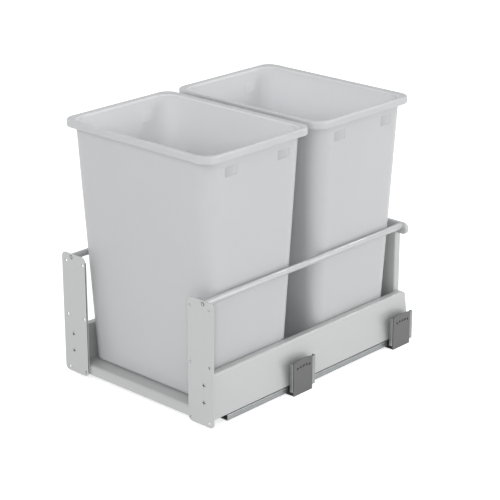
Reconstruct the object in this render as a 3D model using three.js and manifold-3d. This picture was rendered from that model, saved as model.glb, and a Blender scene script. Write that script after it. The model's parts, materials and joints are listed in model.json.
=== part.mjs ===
// Pull-out trash cabinet: two bins in a steel pull-out frame on full-extension runners.
// Millimetres, +Z up, +X to the right seen from the front, +Y into the cabinet.
// The origin is the centre of the footprint, on the plane the four mounting clips reach down to.

import * as THREE from 'three';
import { mergeVertices } from 'three/addons/utils/BufferGeometryUtils.js';
import Module from 'manifold-3d';

const wasm = await Module();
wasm.setup();

// ---------------------------------------------------------------- driving dimensions

const openingWidth = 381;        // clear width between the cabinet walls
const unitDepth = 544;           // front of the door brackets to the back of the drawer sides
const clearance = 0.3;           // fit between separate pieces

const sheet = 1.6;               // folded steel of the frame
const bendRadius = 1.6;          // inside radius of an ordinary bend
const tightBend = 0.8;
const sharpBend = 0.4;
const overshoot = 1;             // how far a cutting shape runs past the face it opens

// bins
const binToRail = 0.4;           // between a bin's wall and the gallery rails
const binHeight = 453;
const binWall = 3;
const binFloorRaise = 3;         // how far the middle of the bottom stands off the tray
const binFootWidth = 18;         // less than the wall's corner radius at the foot
const binBottomRadius = 8;
const binTaper = 0.05;           // how much each wall leans out per unit of height
const binRimCorner = 24;         // corner radius of the rim, seen from above
const binWallCornerTop = 36;
const binWallCornerBottom = 22;
const rimOverhang = 7.4;         // how far the rim stands out past the wall under it
const rimDrop = 13;
const rimRoll = 2.6;             // radius from the crest of the rim to its outer face
const rimFlare = 3;              // from the crest down to the inner face of the wall
const rimWeb = 2.2;              // thickness of the rim over the wall
const rimLipWall = 2;
const binsFrontSetback = 1.2;    // rim of the front bin behind the door plane
const binsRearMargin = 8.8;      // rim of the rear bin in front of the unit's back
const binsApart = 6;             // between the two rims
const pocketLength = 29;
const pocketHeight = 18;
const pocketDepth = 2.1;         // less than the wall, so the inside stays plain
const pocketBelowRim = 27;
const pocketFromMiddle = 64.5;

// drawer sides
const sideInnerToTrack = 13;     // faces of a drawer side, from the middle line of its rollers
const sideTopPastTrack = 2;
const sideBottomPastTrack = 12.5;
const sideTop = 95.8;
const sideToRunner = 1.3;        // between the outer wall's hem and the fixed runner member
const sideBottomInner = 12;
const sideRidgeRadius = 2.4;
const sideHem = 3.2;

// base tray
const trayTop = 29.5;
const trayFrontBottom = 10;
const trayFrontSetback = 4.8;
const trayNose = 6;              // radius of the front edge
const trayHem = 7;
const trayFlangeBottom = 13;
const trayFlangeSetback = 8;     // start of the side flanges behind the tray's front edge

// door brackets
const bracketThickness = 2;
const bracketToWall = 3.5;
const bracketWidth = 60;
const bracketBottom = 7;
const bracketTop = 236;
const bracketCorner = 9;
const bracketLip = 4.2;
const doorHoleDiameter = 5.2;
const doorHoleFromOuter = 10.6;
const doorHoleFromInner = 6.2;
const doorHoleFromBottom = 7.5;
const doorHoleFromTop = 15.5;
const bracketScrewInset = 11.6;  // from the drawer side's inner face
const bracketScrewDrop = 14.3;   // of the upper screw below the top of the drawer side
const bracketScrewPitch = 32;

// screws
const screwHead = 9;
const screwShank = 4.8;
const screwHeadDepth = 2;
const screwLength = 16;
const fixingBlockMargin = 9;     // of the block above and below its two screws
const fixingBlockWall = 4;       // behind the screw tips
const earScrewHead = 7;
const earScrewHeadDepth = 2.6;
const earScrewLength = 14.6;

// gallery rails
const railDiameter = 12;
const railInset = 11;            // from the drawer side's inner face
const railDrop = 6.5;            // below the top of the door bracket
const railJoint = 262;           // behind the door plane
const spigotDiameter = 7;
const spigotLength = 40;

// rear panel
const panelInset = 14;           // front face of the panel, from the unit's back
const panelReturn = 13.5;
const headHeight = 22;
const headAboveRail = 5.5;
const headFlat = 1;              // between the two curves of an ear
const earReach = 13;             // of the head past the middle of each rail

// runners
const runnerBottom = 3.3;
const runnerFront = 46;          // behind the door plane
const runnerRearInset = 4;       // from the unit's back
const runnerToWall = 14.5;
const runnerFootGap = 0.6;       // beside the middle member's foot, on the inner side
const trackInset = 11;           // middle line of the rollers, from the fixed member's outer face
const rollerDiameter = 6.2;
const rollerLength = 8;
const middleFlange = 9.6;
const middleHeight = 13.8;
const middleFront = 50;
const middleRearInset = 14;
const drawerMemberFront = 24;
const drawerMemberRearInset = 16;
const captiveOverlap = 2.4;      // how far the lips of a member reach over the next one's flange
const cageFront = 190;
const cageRear = 400;
const cageThickness = 1.2;
const cageMargin = 1;            // of the cage beside its rollers
const trunnionReach = 0.5;
const rollersPerCage = 6;

// mounting clips
const frontClip = 200;           // front edge of the front clips, behind the door plane
const rearClipInset = 62;        // front edge of the rear clips, from the unit's back
const clipLength = 50;
const clipPlateHeight = 67;
const clipPlateCrown = 5;
const clipBracketPast = 7.5;      // of the bracket behind the plate's rear edge
const clipPlateThickness = 2;
const clipPlateCorner = 3;
const clipHoleDiameter = 3;
const clipHoleCount = 5;
const clipHolePitch = 7.8;
const clipHoleFirst = 10.8;
const clipHoleHeight = 51.2;
const clipHoleSag = 1.6;
const clipBracketBottom = 7;
const clipBracketTop = 61.5;
const clipBracketDepth = 7.6;
const clipScrewShank = 2.6;
const clipScrewHead = 4;
const clipScrewHeadDepth = 1.2;
const cradleBottom = 0.8;
const cradleTop = 15.2;
const cradleInnerWall = 2;
const cradleInnerTop = 9;

// soft-close units
const damperFrontGap = 35;       // behind the front clip
const damperRearGap = 12;        // before the rear clip
const damperWidth = 16;
const damperHeight = 7;
const damperWall = 1.4;
const cylinderDiameter = 4.8;
const cylinderBore = 3.2;
const cylinderGap = 35;          // of bare piston rod between the catch and the cylinder
const pistonDiameter = 2.4;
const pistonEnd = 14;            // of the cylinder behind its bore
const catchLength = 22;
const catchTravel = 40;
const catchEndGap = 6;           // between the housing's end and the catch drawn right forward
const pistonPlay = 4;            // of the bore behind the piston rod
const forkWidth = 6.4;
const forkDepth = 3.2;
const pinDiameter = 5;
const pinClearance = 0.6;        // the pin's tip stands clear of the open fork

// ---------------------------------------------------------------- places worked out from them

const doorPlane = -unitDepth / 2;
const rearPlane = unitDepth / 2;
const wallPlane = openingWidth / 2;
const fromDoor = (distance) => doorPlane + distance;
const runnerOuter = wallPlane - runnerToWall;
const runnerTrack = runnerOuter - trackInset;
const runnerInner = runnerTrack - middleFlange / 2 - runnerFootGap - sheet;
const innerFace = runnerTrack - sideInnerToTrack;
const bracketScrewX = innerFace + bracketScrewInset;
const railZ = bracketTop - railDrop;
const headTop = railZ + headAboveRail;
const headCorner = (headHeight - headFlat) / 2;
const railX = innerFace + railInset;
const bracketOuter = wallPlane - bracketToWall;
const headHalfWidth = railX + earReach;
const binDepth = (unitDepth - binsFrontSetback - binsApart - binsRearMargin) / 2;
const panelFront = unitDepth - panelInset;
const runnerRear = unitDepth - runnerRearInset;
const middleRear = unitDepth - middleRearInset;
const drawerMemberRear = unitDepth - drawerMemberRearInset;
const clipFronts = [frontClip, unitDepth - rearClipInset];
const damperFront = frontClip + clipLength + damperFrontGap;
const damperLength = clipFronts[1] - damperRearGap - damperFront;
const damperAxisZ = runnerBottom + damperWall + clearance + cylinderDiameter / 2;
const cylinderRear = damperLength - damperWall - clearance;
const cylinderLength = cylinderRear - catchTravel - catchEndGap - catchLength - cylinderGap;
const cylinderFront = fromDoor(damperFront + cylinderRear - cylinderLength);
const pistonLength = cylinderLength - pistonPlay - pistonEnd;

const lowerRollerZ = runnerBottom + sheet + clearance + rollerDiameter / 2;
const middleBottom = lowerRollerZ + rollerDiameter / 2 + clearance;
const middleTop = middleBottom + middleHeight;
const upperRollerZ = middleTop + clearance + rollerDiameter / 2;
const drawerMemberTop = upperRollerZ + rollerDiameter / 2 + clearance + sheet;
const cabinetMemberTop = middleBottom + 2 * sheet + clearance;
const sideBottomOuter = cabinetMemberTop + sideToRunner;
const sideOuterX = (z) => THREE.MathUtils.mapLinear(
  z, sideTop, sideBottomOuter, runnerTrack + sideTopPastTrack, runnerTrack + sideBottomPastTrack);
const drawerMemberInner = innerFace + sheet;
const drawerMemberOuter = sideOuterX(drawerMemberTop) - sheet - 2 * clearance;
const drawerMemberLow = middleTop - 2 * sheet - clearance;
const lipGap = middleFlange / 2 - captiveOverlap;
const damperInner = runnerInner - clearance - damperWidth;
const damperMiddle = damperInner + damperWidth / 2;
const pinX = innerFace - sheet - 2 * clearance - pinDiameter / 2;
const catchTop = runnerBottom + damperHeight;
const catchFront = damperFront + catchTravel + catchEndGap;
const bracketScrewTop = sideTop - bracketScrewDrop;
const bracketScrewHeights = [bracketScrewTop - bracketScrewPitch, bracketScrewTop];
const binFloorZ = trayTop + clearance;
const binWallTop = railX - railDiameter / 2 - binToRail + binTaper * (binFloorZ + binHeight - railZ);
const binWidth = 2 * (binWallTop + rimOverhang);
const frontBinMiddle = binsFrontSetback + binDepth / 2;
const rearBinMiddle = frontBinMiddle + binDepth + binsApart;

// ---------------------------------------------------------------- finishes

const finish = (name, color, roughness, metalness, more = {}) => {
  const material = new THREE.MeshStandardMaterial({ color, roughness, metalness, ...more });
  material.name = name;
  return material;
};
const powderCoat = finish('silver_powder_coat', '#c3c5c1', 0.5, 0.1);
const railSteel = finish('satin_rail_steel', '#c9cbcd', 0.32, 0.6);
const zincSteel = finish('zinc_plated_steel', '#b4b8ba', 0.38, 0.85);
const darkSteel = finish('dark_grey_coated_steel', '#77787a', 0.5, 0.3);
const blackPlastic = finish('black_plastic', '#1b1c1d', 0.55, 0);
const greyPlastic = finish('grey_plastic', '#8b8e90', 0.5, 0);
const binPlastic = finish('white_translucent_plastic', '#dfe3e6', 0.42, 0);
const screwSteel = finish('screw_steel', '#a9abac', 0.35, 0.9);

// ---------------------------------------------------------------- shape helpers

// A solid for cutting and joining, from any closed geometry.
function solid(geometry) {
  const bare = geometry.index ? geometry.clone() : geometry;
  bare.deleteAttribute('normal');
  bare.deleteAttribute('uv');
  const merged = mergeVertices(bare);
  return new wasm.Manifold(new wasm.Mesh({
    numProp: 3,
    vertProperties: new Float32Array(merged.attributes.position.array),
    triVerts: new Uint32Array(merged.index.array),
  }));
}

// The geometry of a solid.
function geometryOf(body) {
  const { vertProperties, triVerts } = body.getMesh();
  const geometry = new THREE.BufferGeometry();
  geometry.setAttribute('position', new THREE.BufferAttribute(new Float32Array(vertProperties), 3));
  geometry.setIndex(new THREE.BufferAttribute(new Uint32Array(triVerts), 1));
  geometry.computeVertexNormals();
  return geometry;
}

const joined = (...geometries) => geometryOf(geometries.map(solid).reduce((a, b) => a.add(b)));
const cut = (geometry, ...tools) =>
  geometryOf(tools.map(solid).reduce((a, b) => a.subtract(b), solid(geometry)));

// The same shape on the other side of the unit, with its faces still pointing out.
function mirrored(geometry) {
  const copy = geometry.clone().scale(-1, 1, 1);
  const index = copy.index ?? new THREE.BufferAttribute(
    Uint32Array.from({ length: copy.attributes.position.count }, (_, i) => i), 1);
  const corners = index.array.slice();
  for (let i = 0; i < corners.length; i += 3) {
    [corners[i + 1], corners[i + 2]] = [corners[i + 2], corners[i + 1]];
  }
  copy.setIndex(new THREE.BufferAttribute(corners, 1));
  return copy;
}

// A box between two opposite corners.
function box([x0, y0, z0], [x1, y1, z1]) {
  return new THREE.BoxGeometry(x1 - x0, y1 - y0, z1 - z0)
    .translate((x0 + x1) / 2, (y0 + y1) / 2, (z0 + z1) / 2);
}

const X = new THREE.Vector3(1, 0, 0);
const Y = new THREE.Vector3(0, 1, 0);
const Z = new THREE.Vector3(0, 0, 1);

// A section drawn in (x, z), carried along Y.
function alongY(shape, yStart, yEnd, curveSegments = 6) {
  const settings = { depth: yEnd - yStart, bevelEnabled: false, curveSegments };
  const turn = new THREE.Matrix4().makeBasis(X, Z, Y.clone().negate());
  return new THREE.ExtrudeGeometry(shape, settings).applyMatrix4(turn).translate(0, yEnd, 0);
}

// A section drawn in (y, z), carried along X.
function alongX(shape, xStart, xEnd, curveSegments = 6) {
  const settings = { depth: xEnd - xStart, bevelEnabled: false, curveSegments };
  const turn = new THREE.Matrix4().makeBasis(Y, Z, X);
  return new THREE.ExtrudeGeometry(shape, settings).applyMatrix4(turn).translate(xStart, 0, 0);
}

// A round bar, bore or stepped turning along Y: pairs of [radius, distance along Y].
function turned(x, y, z, profile, segments = 20) {
  const points = profile.map(([radius, along]) => new THREE.Vector2(radius, along));
  return new THREE.LatheGeometry(points, segments).translate(x, y, z);
}

const bar = (x, z, yStart, yEnd, diameter, segments = 20) => turned(x, yStart, z, [
  [0, 0], [diameter / 2, 0], [diameter / 2, yEnd - yStart], [0, yEnd - yStart]], segments);

// A post standing along Z.
function post(x, y, zStart, zEnd, diameter, segments = 16) {
  return new THREE.CylinderGeometry(diameter / 2, diameter / 2, zEnd - zStart, segments)
    .rotateX(Math.PI / 2).translate(x, y, (zStart + zEnd) / 2);
}

// A roller with its axle along X.
function roller(x, y, z, diameter, length, segments = 12) {
  return new THREE.CylinderGeometry(diameter / 2, diameter / 2, length, segments)
    .rotateZ(Math.PI / 2).translate(x, y, z);
}

// The corners of an open line, each rounded by its own radius.
function roundedLine(points, radii, steps = 4) {
  const line = [points[0]];
  for (let i = 1; i < points.length - 1; i += 1) {
    const before = points[i].clone().sub(points[i - 1]).normalize();
    const after = points[i + 1].clone().sub(points[i]).normalize();
    const turn = Math.atan2(before.cross(after), before.dot(after));
    const radius = radii[i];
    const start = points[i].clone().addScaledVector(before, -radius * Math.tan(Math.abs(turn) / 2));
    const side = new THREE.Vector2(-before.y, before.x).multiplyScalar(Math.sign(turn) * radius);
    const centre = start.clone().add(side);
    for (let k = 0; k <= steps; k += 1) {
      line.push(start.clone().rotateAround(centre, turn * k / steps));
    }
  }
  line.push(points.at(-1));
  return line;
}

// The section of a folded sheet: its face line, with the sheet's thickness to the right of it.
function foldedSection(corners, thickness, radii = {}) {
  const face = corners.map(([a, b]) => new THREE.Vector2(a, b));
  const normals = face.slice(1).map((point, i) => {
    const along = point.clone().sub(face[i]).normalize();
    return new THREE.Vector2(along.y, -along.x);
  });
  const back = face.map((point, i) => {
    const first = normals[Math.max(i - 1, 0)];
    const second = normals[Math.min(i, normals.length - 1)];
    return point.clone().addScaledVector(first.clone().add(second), thickness / (1 + first.dot(second)));
  });
  const inner = face.map((_, i) => radii[i] ?? bendRadius);
  const turnsRight = face.map((_, i) => normals[i - 1]?.cross(normals[i] ?? normals[i - 1]) < 0);
  const faceRadii = inner.map((radius, i) => radius + (turnsRight[i] ? thickness : 0));
  const backRadii = inner.map((radius, i) => radius + (turnsRight[i] ? 0 : thickness));
  return new THREE.Shape([...roundedLine(face, faceRadii), ...roundedLine(back, backRadii).reverse()]);
}

// A rectangle with rounded corners, as a shape.
function roundedRectangle(left, bottom, right, top, radius) {
  const shape = new THREE.Shape();
  shape.absarc(right - radius, bottom + radius, radius, -Math.PI / 2, 0);
  shape.absarc(right - radius, top - radius, radius, 0, Math.PI / 2);
  shape.absarc(left + radius, top - radius, radius, Math.PI / 2, Math.PI);
  shape.absarc(left + radius, bottom + radius, radius, Math.PI, 1.5 * Math.PI);
  return shape;
}

function circle(x, y, diameter) {
  const hole = new THREE.Path();
  hole.absarc(x, y, diameter / 2, 0, 2 * Math.PI);
  return hole;
}

// One level of a loft: a rounded rectangle about the Z axis.
function ring(halfX, halfY, radius, z, steps = 6) {
  const points = [];
  for (const [signX, signY, start] of [[1, 1, 0], [-1, 1, 0.5], [-1, -1, 1], [1, -1, 1.5]]) {
    for (let k = 0; k <= steps; k += 1) {
      const angle = Math.PI * (start + k / steps / 2);
      points.push(new THREE.Vector3(
        signX * (halfX - radius) + radius * Math.cos(angle),
        signY * (halfY - radius) + radius * Math.sin(angle), z));
    }
  }
  return points;
}

// A closed skin over a row of rings, with a flat cap at either end.
function loft(rings) {
  const count = rings[0].length;
  const points = rings.flat();
  const faces = [];
  for (let level = 0; level < rings.length - 1; level += 1) {
    for (let k = 0; k < count; k += 1) {
      const a = level * count + k;
      const b = level * count + (k + 1) % count;
      faces.push(a, b, b + count, a, b + count, a + count);
    }
  }
  const caps = [[0, true], [(rings.length - 1) * count, false]];
  for (const [first, under] of caps) {
    const middle = points.length;
    points.push(new THREE.Vector3(0, 0, points[first].z));
    for (let k = 0; k < count; k += 1) {
      const a = first + k;
      const b = first + (k + 1) % count;
      faces.push(middle, under ? b : a, under ? a : b);
    }
  }
  const geometry = new THREE.BufferGeometry().setFromPoints(points);
  geometry.setIndex(faces);
  return geometry;
}

// ---------------------------------------------------------------- bins

// A bin about its own middle, standing on z = 0: outer skin up, round the rolled rim, inner skin down.
function bin() {
  const wallX = (z) => binWidth / 2 - rimOverhang - binTaper * (binHeight - z);
  const wallY = (z) => binDepth / 2 - rimOverhang - binTaper * (binHeight - z);
  const corner = (z) => THREE.MathUtils.lerp(binWallCornerBottom, binWallCornerTop, z / binHeight);
  const skin = (z, outset) => ring(wallX(z) + outset, wallY(z) + outset, corner(z) + outset, z);
  const rimRing = (outset, z) => ring(
    wallX(binHeight) + outset, wallY(binHeight) + outset, binRimCorner - rimOverhang + outset, z);
  const arc = (steps) => Array.from({ length: steps + 1 }, (_, k) => k / steps * Math.PI / 2);
  const foot = arc(3).map((angle) => skin(
    binBottomRadius * (1 - Math.sin(angle)), -binBottomRadius * (1 - Math.cos(angle)))).reverse();
  const hollowFoot = arc(3).map((angle) => skin(
    binFloorRaise + binWall + binBottomRadius * (1 - Math.sin(angle)),
    -binWall - binBottomRadius * (1 - Math.cos(angle))));
  const roll = arc(3).map((angle) => rimRing(
    rimOverhang - rimRoll * (1 - Math.cos(angle)), binHeight - rimRoll * (1 - Math.sin(angle))));
  const crest = rimOverhang - rimRoll;
  const flare = [1 / 3, 2 / 3, 1].map((t) => {
    const outset = THREE.MathUtils.lerp(crest, -binWall, t);
    const radius = THREE.MathUtils.lerp(binRimCorner - rimRoll, binWallCornerTop - binWall, t);
    return ring(wallX(binHeight) + outset, wallY(binHeight) + outset, radius, binHeight - rimFlare * t * t);
  });
  const shell = loft([
    skin(binFloorRaise, -binFootWidth - binFloorRaise),
    skin(0, -binFootWidth),
    ...foot,
    skin(binHeight - rimDrop, 0),
    skin(binHeight - rimFlare - rimWeb, 0),
    rimRing(rimOverhang - rimLipWall, binHeight - rimRoll),
    rimRing(rimOverhang - rimLipWall, binHeight - rimDrop),
    rimRing(rimOverhang, binHeight - rimDrop),
    ...roll,
    ...flare,
    ...hollowFoot,
  ]);
  const pocketTop = binHeight - pocketBelowRim;
  const pocketX = wallX(pocketTop - pocketHeight / 2);
  const hollows = [-pocketFromMiddle, pocketFromMiddle].map((y) => box(
    [pocketX - pocketDepth, y - pocketLength / 2, pocketTop - pocketHeight],
    [pocketX + binWall, y + pocketLength / 2, pocketTop]));
  return cut(shell, ...hollows, ...hollows.map(mirrored));
}

// ---------------------------------------------------------------- frame on the drawer runners

// Folded steel side: inner wall, flat top, outer wall that flares down to a hem.
function drawerSide() {
  const section = foldedSection([
    [innerFace, sideBottomInner],
    [innerFace, sideTop],
    [sideOuterX(sideTop), sideTop],
    [sideOuterX(sideBottomOuter), sideBottomOuter],
    [sideOuterX(sideBottomOuter) - sideHem, sideBottomOuter],
  ], sheet, { 1: tightBend, 2: sideRidgeRadius, 3: sharpBend });
  return alongY(section, fromDoor(bracketThickness), rearPlane);
}

// The block in the front end of a side that the two bracket screws bite into.
function fixingBlock() {
  const low = bracketScrewHeights[0] - fixingBlockMargin;
  const high = bracketScrewTop + fixingBlockMargin;
  const outer = (z) => sideOuterX(z) - sheet - 2 * clearance;
  const inner = innerFace + sheet + clearance;
  const section = new THREE.Shape([[inner, low], [outer(low), low], [outer(high), high], [inner, high]]
    .map(([x, z]) => new THREE.Vector2(x, z)));
  const front = fromDoor(bracketThickness);
  const body = alongY(section, front, front + screwLength + fixingBlockWall);
  return cut(body, ...bracketScrewHeights.map((z) => screw(bracketScrewX, z, clearance)));
}

// Folded tray: rolled front edge, flat top, rear flange, and a flange down each side.
function baseTray() {
  const front = fromDoor(trayFrontSetback);
  const rear = fromDoor(panelFront - clearance);
  const section = foldedSection([
    [front + trayHem, trayFrontBottom],
    [front, trayFrontBottom],
    [front, trayTop],
    [rear, trayTop],
    [rear, trayFlangeBottom],
  ], sheet, { 1: tightBend, 2: trayNose - sheet });
  const half = innerFace - clearance;
  const flange = box(
    [half - sheet, front + trayFlangeSetback, trayFlangeBottom],
    [half, rear - 2 * sheet, trayTop - sheet / 2]);
  return joined(alongX(section, -half, half), flange, mirrored(flange));
}

// Rear panel: flat front face between the sides, folded returns, and a rolled head whose round
// ends stand out past the drawer sides as ears for the rails.
function rearPanel() {
  const half = innerFace - clearance;
  const front = fromDoor(panelFront);
  const back = front + panelReturn;
  const face = box([-half, front, trayFlangeBottom], [half, front + sheet, headTop - headHeight / 2]);
  const fold = box([half - sheet, front, trayFlangeBottom], [half, back, headTop - headHeight / 2]);
  const head = alongY(roundedRectangle(
    -headHalfWidth, headTop - headHeight, headHalfWidth, headTop, headCorner), front, back, 8);
  const inside = alongY(roundedRectangle(
    -headHalfWidth + sheet, headTop - headHeight + sheet, headHalfWidth - sheet, headTop - sheet,
    headCorner - sheet), front + sheet, back + overshoot, 8);
  const screwHole = bar(railX, railZ, front - overshoot, back, screwShank + 2 * clearance);
  return cut(joined(face, fold, mirrored(fold), cut(head, inside)), screwHole, mirrored(screwHole));
}

// A countersunk screw whose head lies flush in the front face of a door bracket.
function screw(x, z, grow = 0) {
  return turned(x, doorPlane, z, [
    [0, 0], [screwHead / 2 + grow, 0], [screwShank / 2 + grow, screwHeadDepth + grow],
    [screwShank / 2 + grow, screwLength + grow], [0, screwLength + grow]], 16);
}

// Flat plate with rounded corners, six door-screw holes, three countersunk holes, and a lip folded
// back along its inner edge.
function doorBracket() {
  const inner = bracketOuter - bracketWidth;
  const plate = roundedRectangle(inner, bracketBottom, bracketOuter, bracketTop, bracketCorner);
  const lowest = bracketBottom + doorHoleFromBottom;
  const highest = bracketTop - doorHoleFromTop;
  for (const z of [lowest, (lowest + highest) / 2, highest]) {
    plate.holes.push(circle(inner + doorHoleFromInner, z, doorHoleDiameter));
    plate.holes.push(circle(bracketOuter - doorHoleFromOuter, z, doorHoleDiameter));
  }
  const lip = box(
    [inner, doorPlane, bracketBottom + bracketCorner],
    [inner + sheet, doorPlane + bracketLip, bracketTop - bracketCorner]);
  const sockets = bracketScrewHeights.map((z) => screw(bracketScrewX, z, clearance));
  return cut(joined(alongY(plate, doorPlane, fromDoor(bracketThickness), 5), lip),
    ...sockets, screw(railX, railZ, clearance));
}

// One rod of a gallery rail: a blind bore for its screw at the outer end, one for the spigot at the joint.
function railRod(yStart, yEnd, screwAtStart) {
  const radius = railDiameter / 2;
  const screwBore = screwShank / 2 + clearance;
  const screwReach = screwLength;
  const spigotBore = spigotDiameter / 2 + clearance;
  const spigotReach = spigotLength / 2 + clearance;
  const length = yEnd - yStart;
  const [startBore, startReach, endBore, endReach] = screwAtStart
    ? [screwBore, screwReach, spigotBore, spigotReach]
    : [spigotBore, spigotReach, screwBore, screwReach];
  return turned(railX, yStart, railZ, [
    [0, startReach], [startBore, startReach], [startBore, 0], [radius, 0],
    [radius, length], [endBore, length], [endBore, length - endReach], [0, length - endReach]], 24);
}

// The screw that holds the rear end of a rail, put in from behind the ear.
function rearRailScrew() {
  const seat = fromDoor(panelFront) + sheet;
  return turned(railX, seat, railZ, [
    [0, -earScrewLength], [screwShank / 2, -earScrewLength], [screwShank / 2, 0],
    [earScrewHead / 2, 0], [earScrewHead / 2, earScrewHeadDepth], [0, earScrewHeadDepth]], 16);
}

// ---------------------------------------------------------------- runners

// Fixed member: an open channel with lips that keep the middle member's foot in.
function cabinetMember() {
  const section = foldedSection([
    [runnerTrack + lipGap, cabinetMemberTop],
    [runnerOuter, cabinetMemberTop],
    [runnerOuter, runnerBottom],
    [runnerInner, runnerBottom],
    [runnerInner, cabinetMemberTop],
    [runnerTrack - lipGap, cabinetMemberTop],
  ], sheet, { 1: sharpBend, 2: sharpBend, 3: sharpBend, 4: sharpBend });
  const body = alongY(section, fromDoor(runnerFront), fromDoor(runnerRear));
  return cut(body, ...clipFronts.map((front) => clipScrew(front, clearance)));
}

// Middle member: an I section, foot below and head above.
function middleMember() {
  const left = runnerTrack - middleFlange / 2;
  const right = runnerTrack + middleFlange / 2;
  const y0 = fromDoor(middleFront);
  const y1 = fromDoor(middleRear);
  return joined(
    box([left, y0, middleBottom], [right, y1, middleBottom + sheet]),
    box([runnerTrack - sheet / 2, y0, middleBottom], [runnerTrack + sheet / 2, y1, middleTop]),
    box([left, y0, middleTop - sheet], [right, y1, middleTop]));
}

// Drawer member: an upturned channel over the middle member's head, with lips under it.
function drawerMember() {
  const section = foldedSection([
    [runnerTrack - lipGap, drawerMemberLow],
    [drawerMemberInner, drawerMemberLow],
    [drawerMemberInner, drawerMemberTop],
    [drawerMemberOuter, drawerMemberTop],
    [drawerMemberOuter, drawerMemberLow],
    [runnerTrack + lipGap, drawerMemberLow],
  ], sheet, { 1: sharpBend, 2: tightBend, 3: tightBend, 4: sharpBend });
  return alongY(section, fromDoor(drawerMemberFront), fromDoor(drawerMemberRear));
}

const rollerPlaces = () => Array.from({ length: rollersPerCage }, (_, i) =>
  fromDoor(cageFront + (cageRear - cageFront) * (i + 0.5) / rollersPerCage));

// Flat cage strip with a window for each roller, and the rollers snapped in by their trunnions.
function rollerCage(z) {
  const half = rollerLength / 2 + cageMargin;
  const strip = box(
    [runnerTrack - half, fromDoor(cageFront), z - cageThickness / 2],
    [runnerTrack + half, fromDoor(cageRear), z + cageThickness / 2]);
  const windows = rollerPlaces().map((y) => box(
    [runnerTrack - rollerLength / 2 - clearance, y - rollerDiameter / 2 - clearance, z - cageThickness],
    [runnerTrack + rollerLength / 2 + clearance, y + rollerDiameter / 2 + clearance, z + cageThickness]));
  const rollers = rollerPlaces().flatMap((y) => [
    roller(runnerTrack, y, z, rollerDiameter, rollerLength),
    roller(runnerTrack, y, z, cageThickness, rollerLength + 2 * trunnionReach, 6)]);
  return joined(cut(strip, ...windows), ...rollers);
}

// ---------------------------------------------------------------- mounting clips

// Dark outer plate: crowned top and five small holes in a shallow arc.
function clipPlate(clipFront) {
  const front = fromDoor(clipFront);
  const rear = front + clipLength;
  const shoulder = clipPlateHeight - clipPlateCrown;
  const shape = new THREE.Shape();
  shape.moveTo(front, 0);
  shape.lineTo(rear, 0);
  shape.lineTo(rear, shoulder);
  shape.quadraticCurveTo(
    (front + rear) / 2, shoulder + 2 * clipPlateCrown, front + clipPlateCorner, shoulder);
  shape.quadraticCurveTo(front, shoulder, front, shoulder - clipPlateCorner);
  shape.closePath();
  for (let i = 0; i < clipHoleCount; i += 1) {
    const across = 2 * i / (clipHoleCount - 1) - 1;
    const y = front + clipHoleFirst + i * clipHolePitch;
    shape.holes.push(circle(y, clipHoleHeight + clipHoleSag * (1 - across * across), clipHoleDiameter));
  }
  return alongX(shape, wallPlane - clipPlateThickness, wallPlane, 5);
}

// Light bracket behind the plate: a web that shows past the plate's rear edge, and two flanges
// towards the runner.
function clipBracket(clipFront) {
  const outer = wallPlane - clipPlateThickness;
  const inner = outer - clipBracketDepth;
  const front = fromDoor(clipFront);
  const rear = front + clipLength + clipBracketPast;
  const section = foldedSection([[inner, rear], [outer, rear], [outer, front], [inner, front]], sheet);
  const settings = { depth: clipBracketTop - clipBracketBottom, bevelEnabled: false };
  return new THREE.ExtrudeGeometry(section, settings).translate(0, 0, clipBracketBottom);
}

// Black cradle: a short channel under the fixed member, with a thick outer wall against the bracket.
function clipCradle(clipFront) {
  const outer = wallPlane - clipPlateThickness - clipBracketDepth;
  const inner = runnerInner - clearance - cradleInnerWall;
  const outerWall = runnerOuter + clearance;
  const floorTop = runnerBottom - clearance;
  const section = new THREE.Shape([
    [inner, cradleBottom], [outer, cradleBottom], [outer, cradleTop], [outerWall, cradleTop],
    [outerWall, floorTop], [runnerInner - clearance, floorTop], [runnerInner - clearance, cradleInnerTop],
    [inner, cradleInnerTop],
  ].map(([x, z]) => new THREE.Vector2(x, z)));
  const body = alongY(section, fromDoor(clipFront), fromDoor(clipFront + clipLength));
  return cut(body, clipScrew(clipFront, clearance));
}

// The screw that ties the fixed member to a cradle.
function clipScrew(clipFront, grow = 0) {
  const x = runnerOuter - sheet - clipScrewShank;
  const y = fromDoor(clipFront + clipLength / 2);
  const floor = runnerBottom + sheet;
  return joined(
    post(x, y, cradleBottom + clearance - grow, floor + overshoot, clipScrewShank + 2 * grow, 12),
    post(x, y, floor, floor + clipScrewHeadDepth + grow, clipScrewHead + 2 * grow, 12));
}

// ---------------------------------------------------------------- soft-close units

// Open-topped housing beside the fixed member.
function damperHousing() {
  const y0 = fromDoor(damperFront);
  const y1 = y0 + damperLength;
  const top = runnerBottom + damperHeight;
  const outside = box([damperInner, y0, runnerBottom], [damperInner + damperWidth, y1, top]);
  const trough = box(
    [damperInner + damperWall, y0 + damperWall, runnerBottom + damperWall],
    [damperInner + damperWidth - damperWall, y1 - damperWall, top + overshoot]);
  return cut(outside, trough);
}

// Damper body with the bore that the piston rod runs in.
function damperCylinder() {
  const boreLength = pistonLength + pistonPlay;
  return turned(damperMiddle, cylinderFront, damperAxisZ, [
    [0, boreLength], [cylinderBore / 2, boreLength], [cylinderBore / 2, 0], [cylinderDiameter / 2, 0],
    [cylinderDiameter / 2, cylinderLength], [0, cylinderLength]], 18);
}

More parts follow.
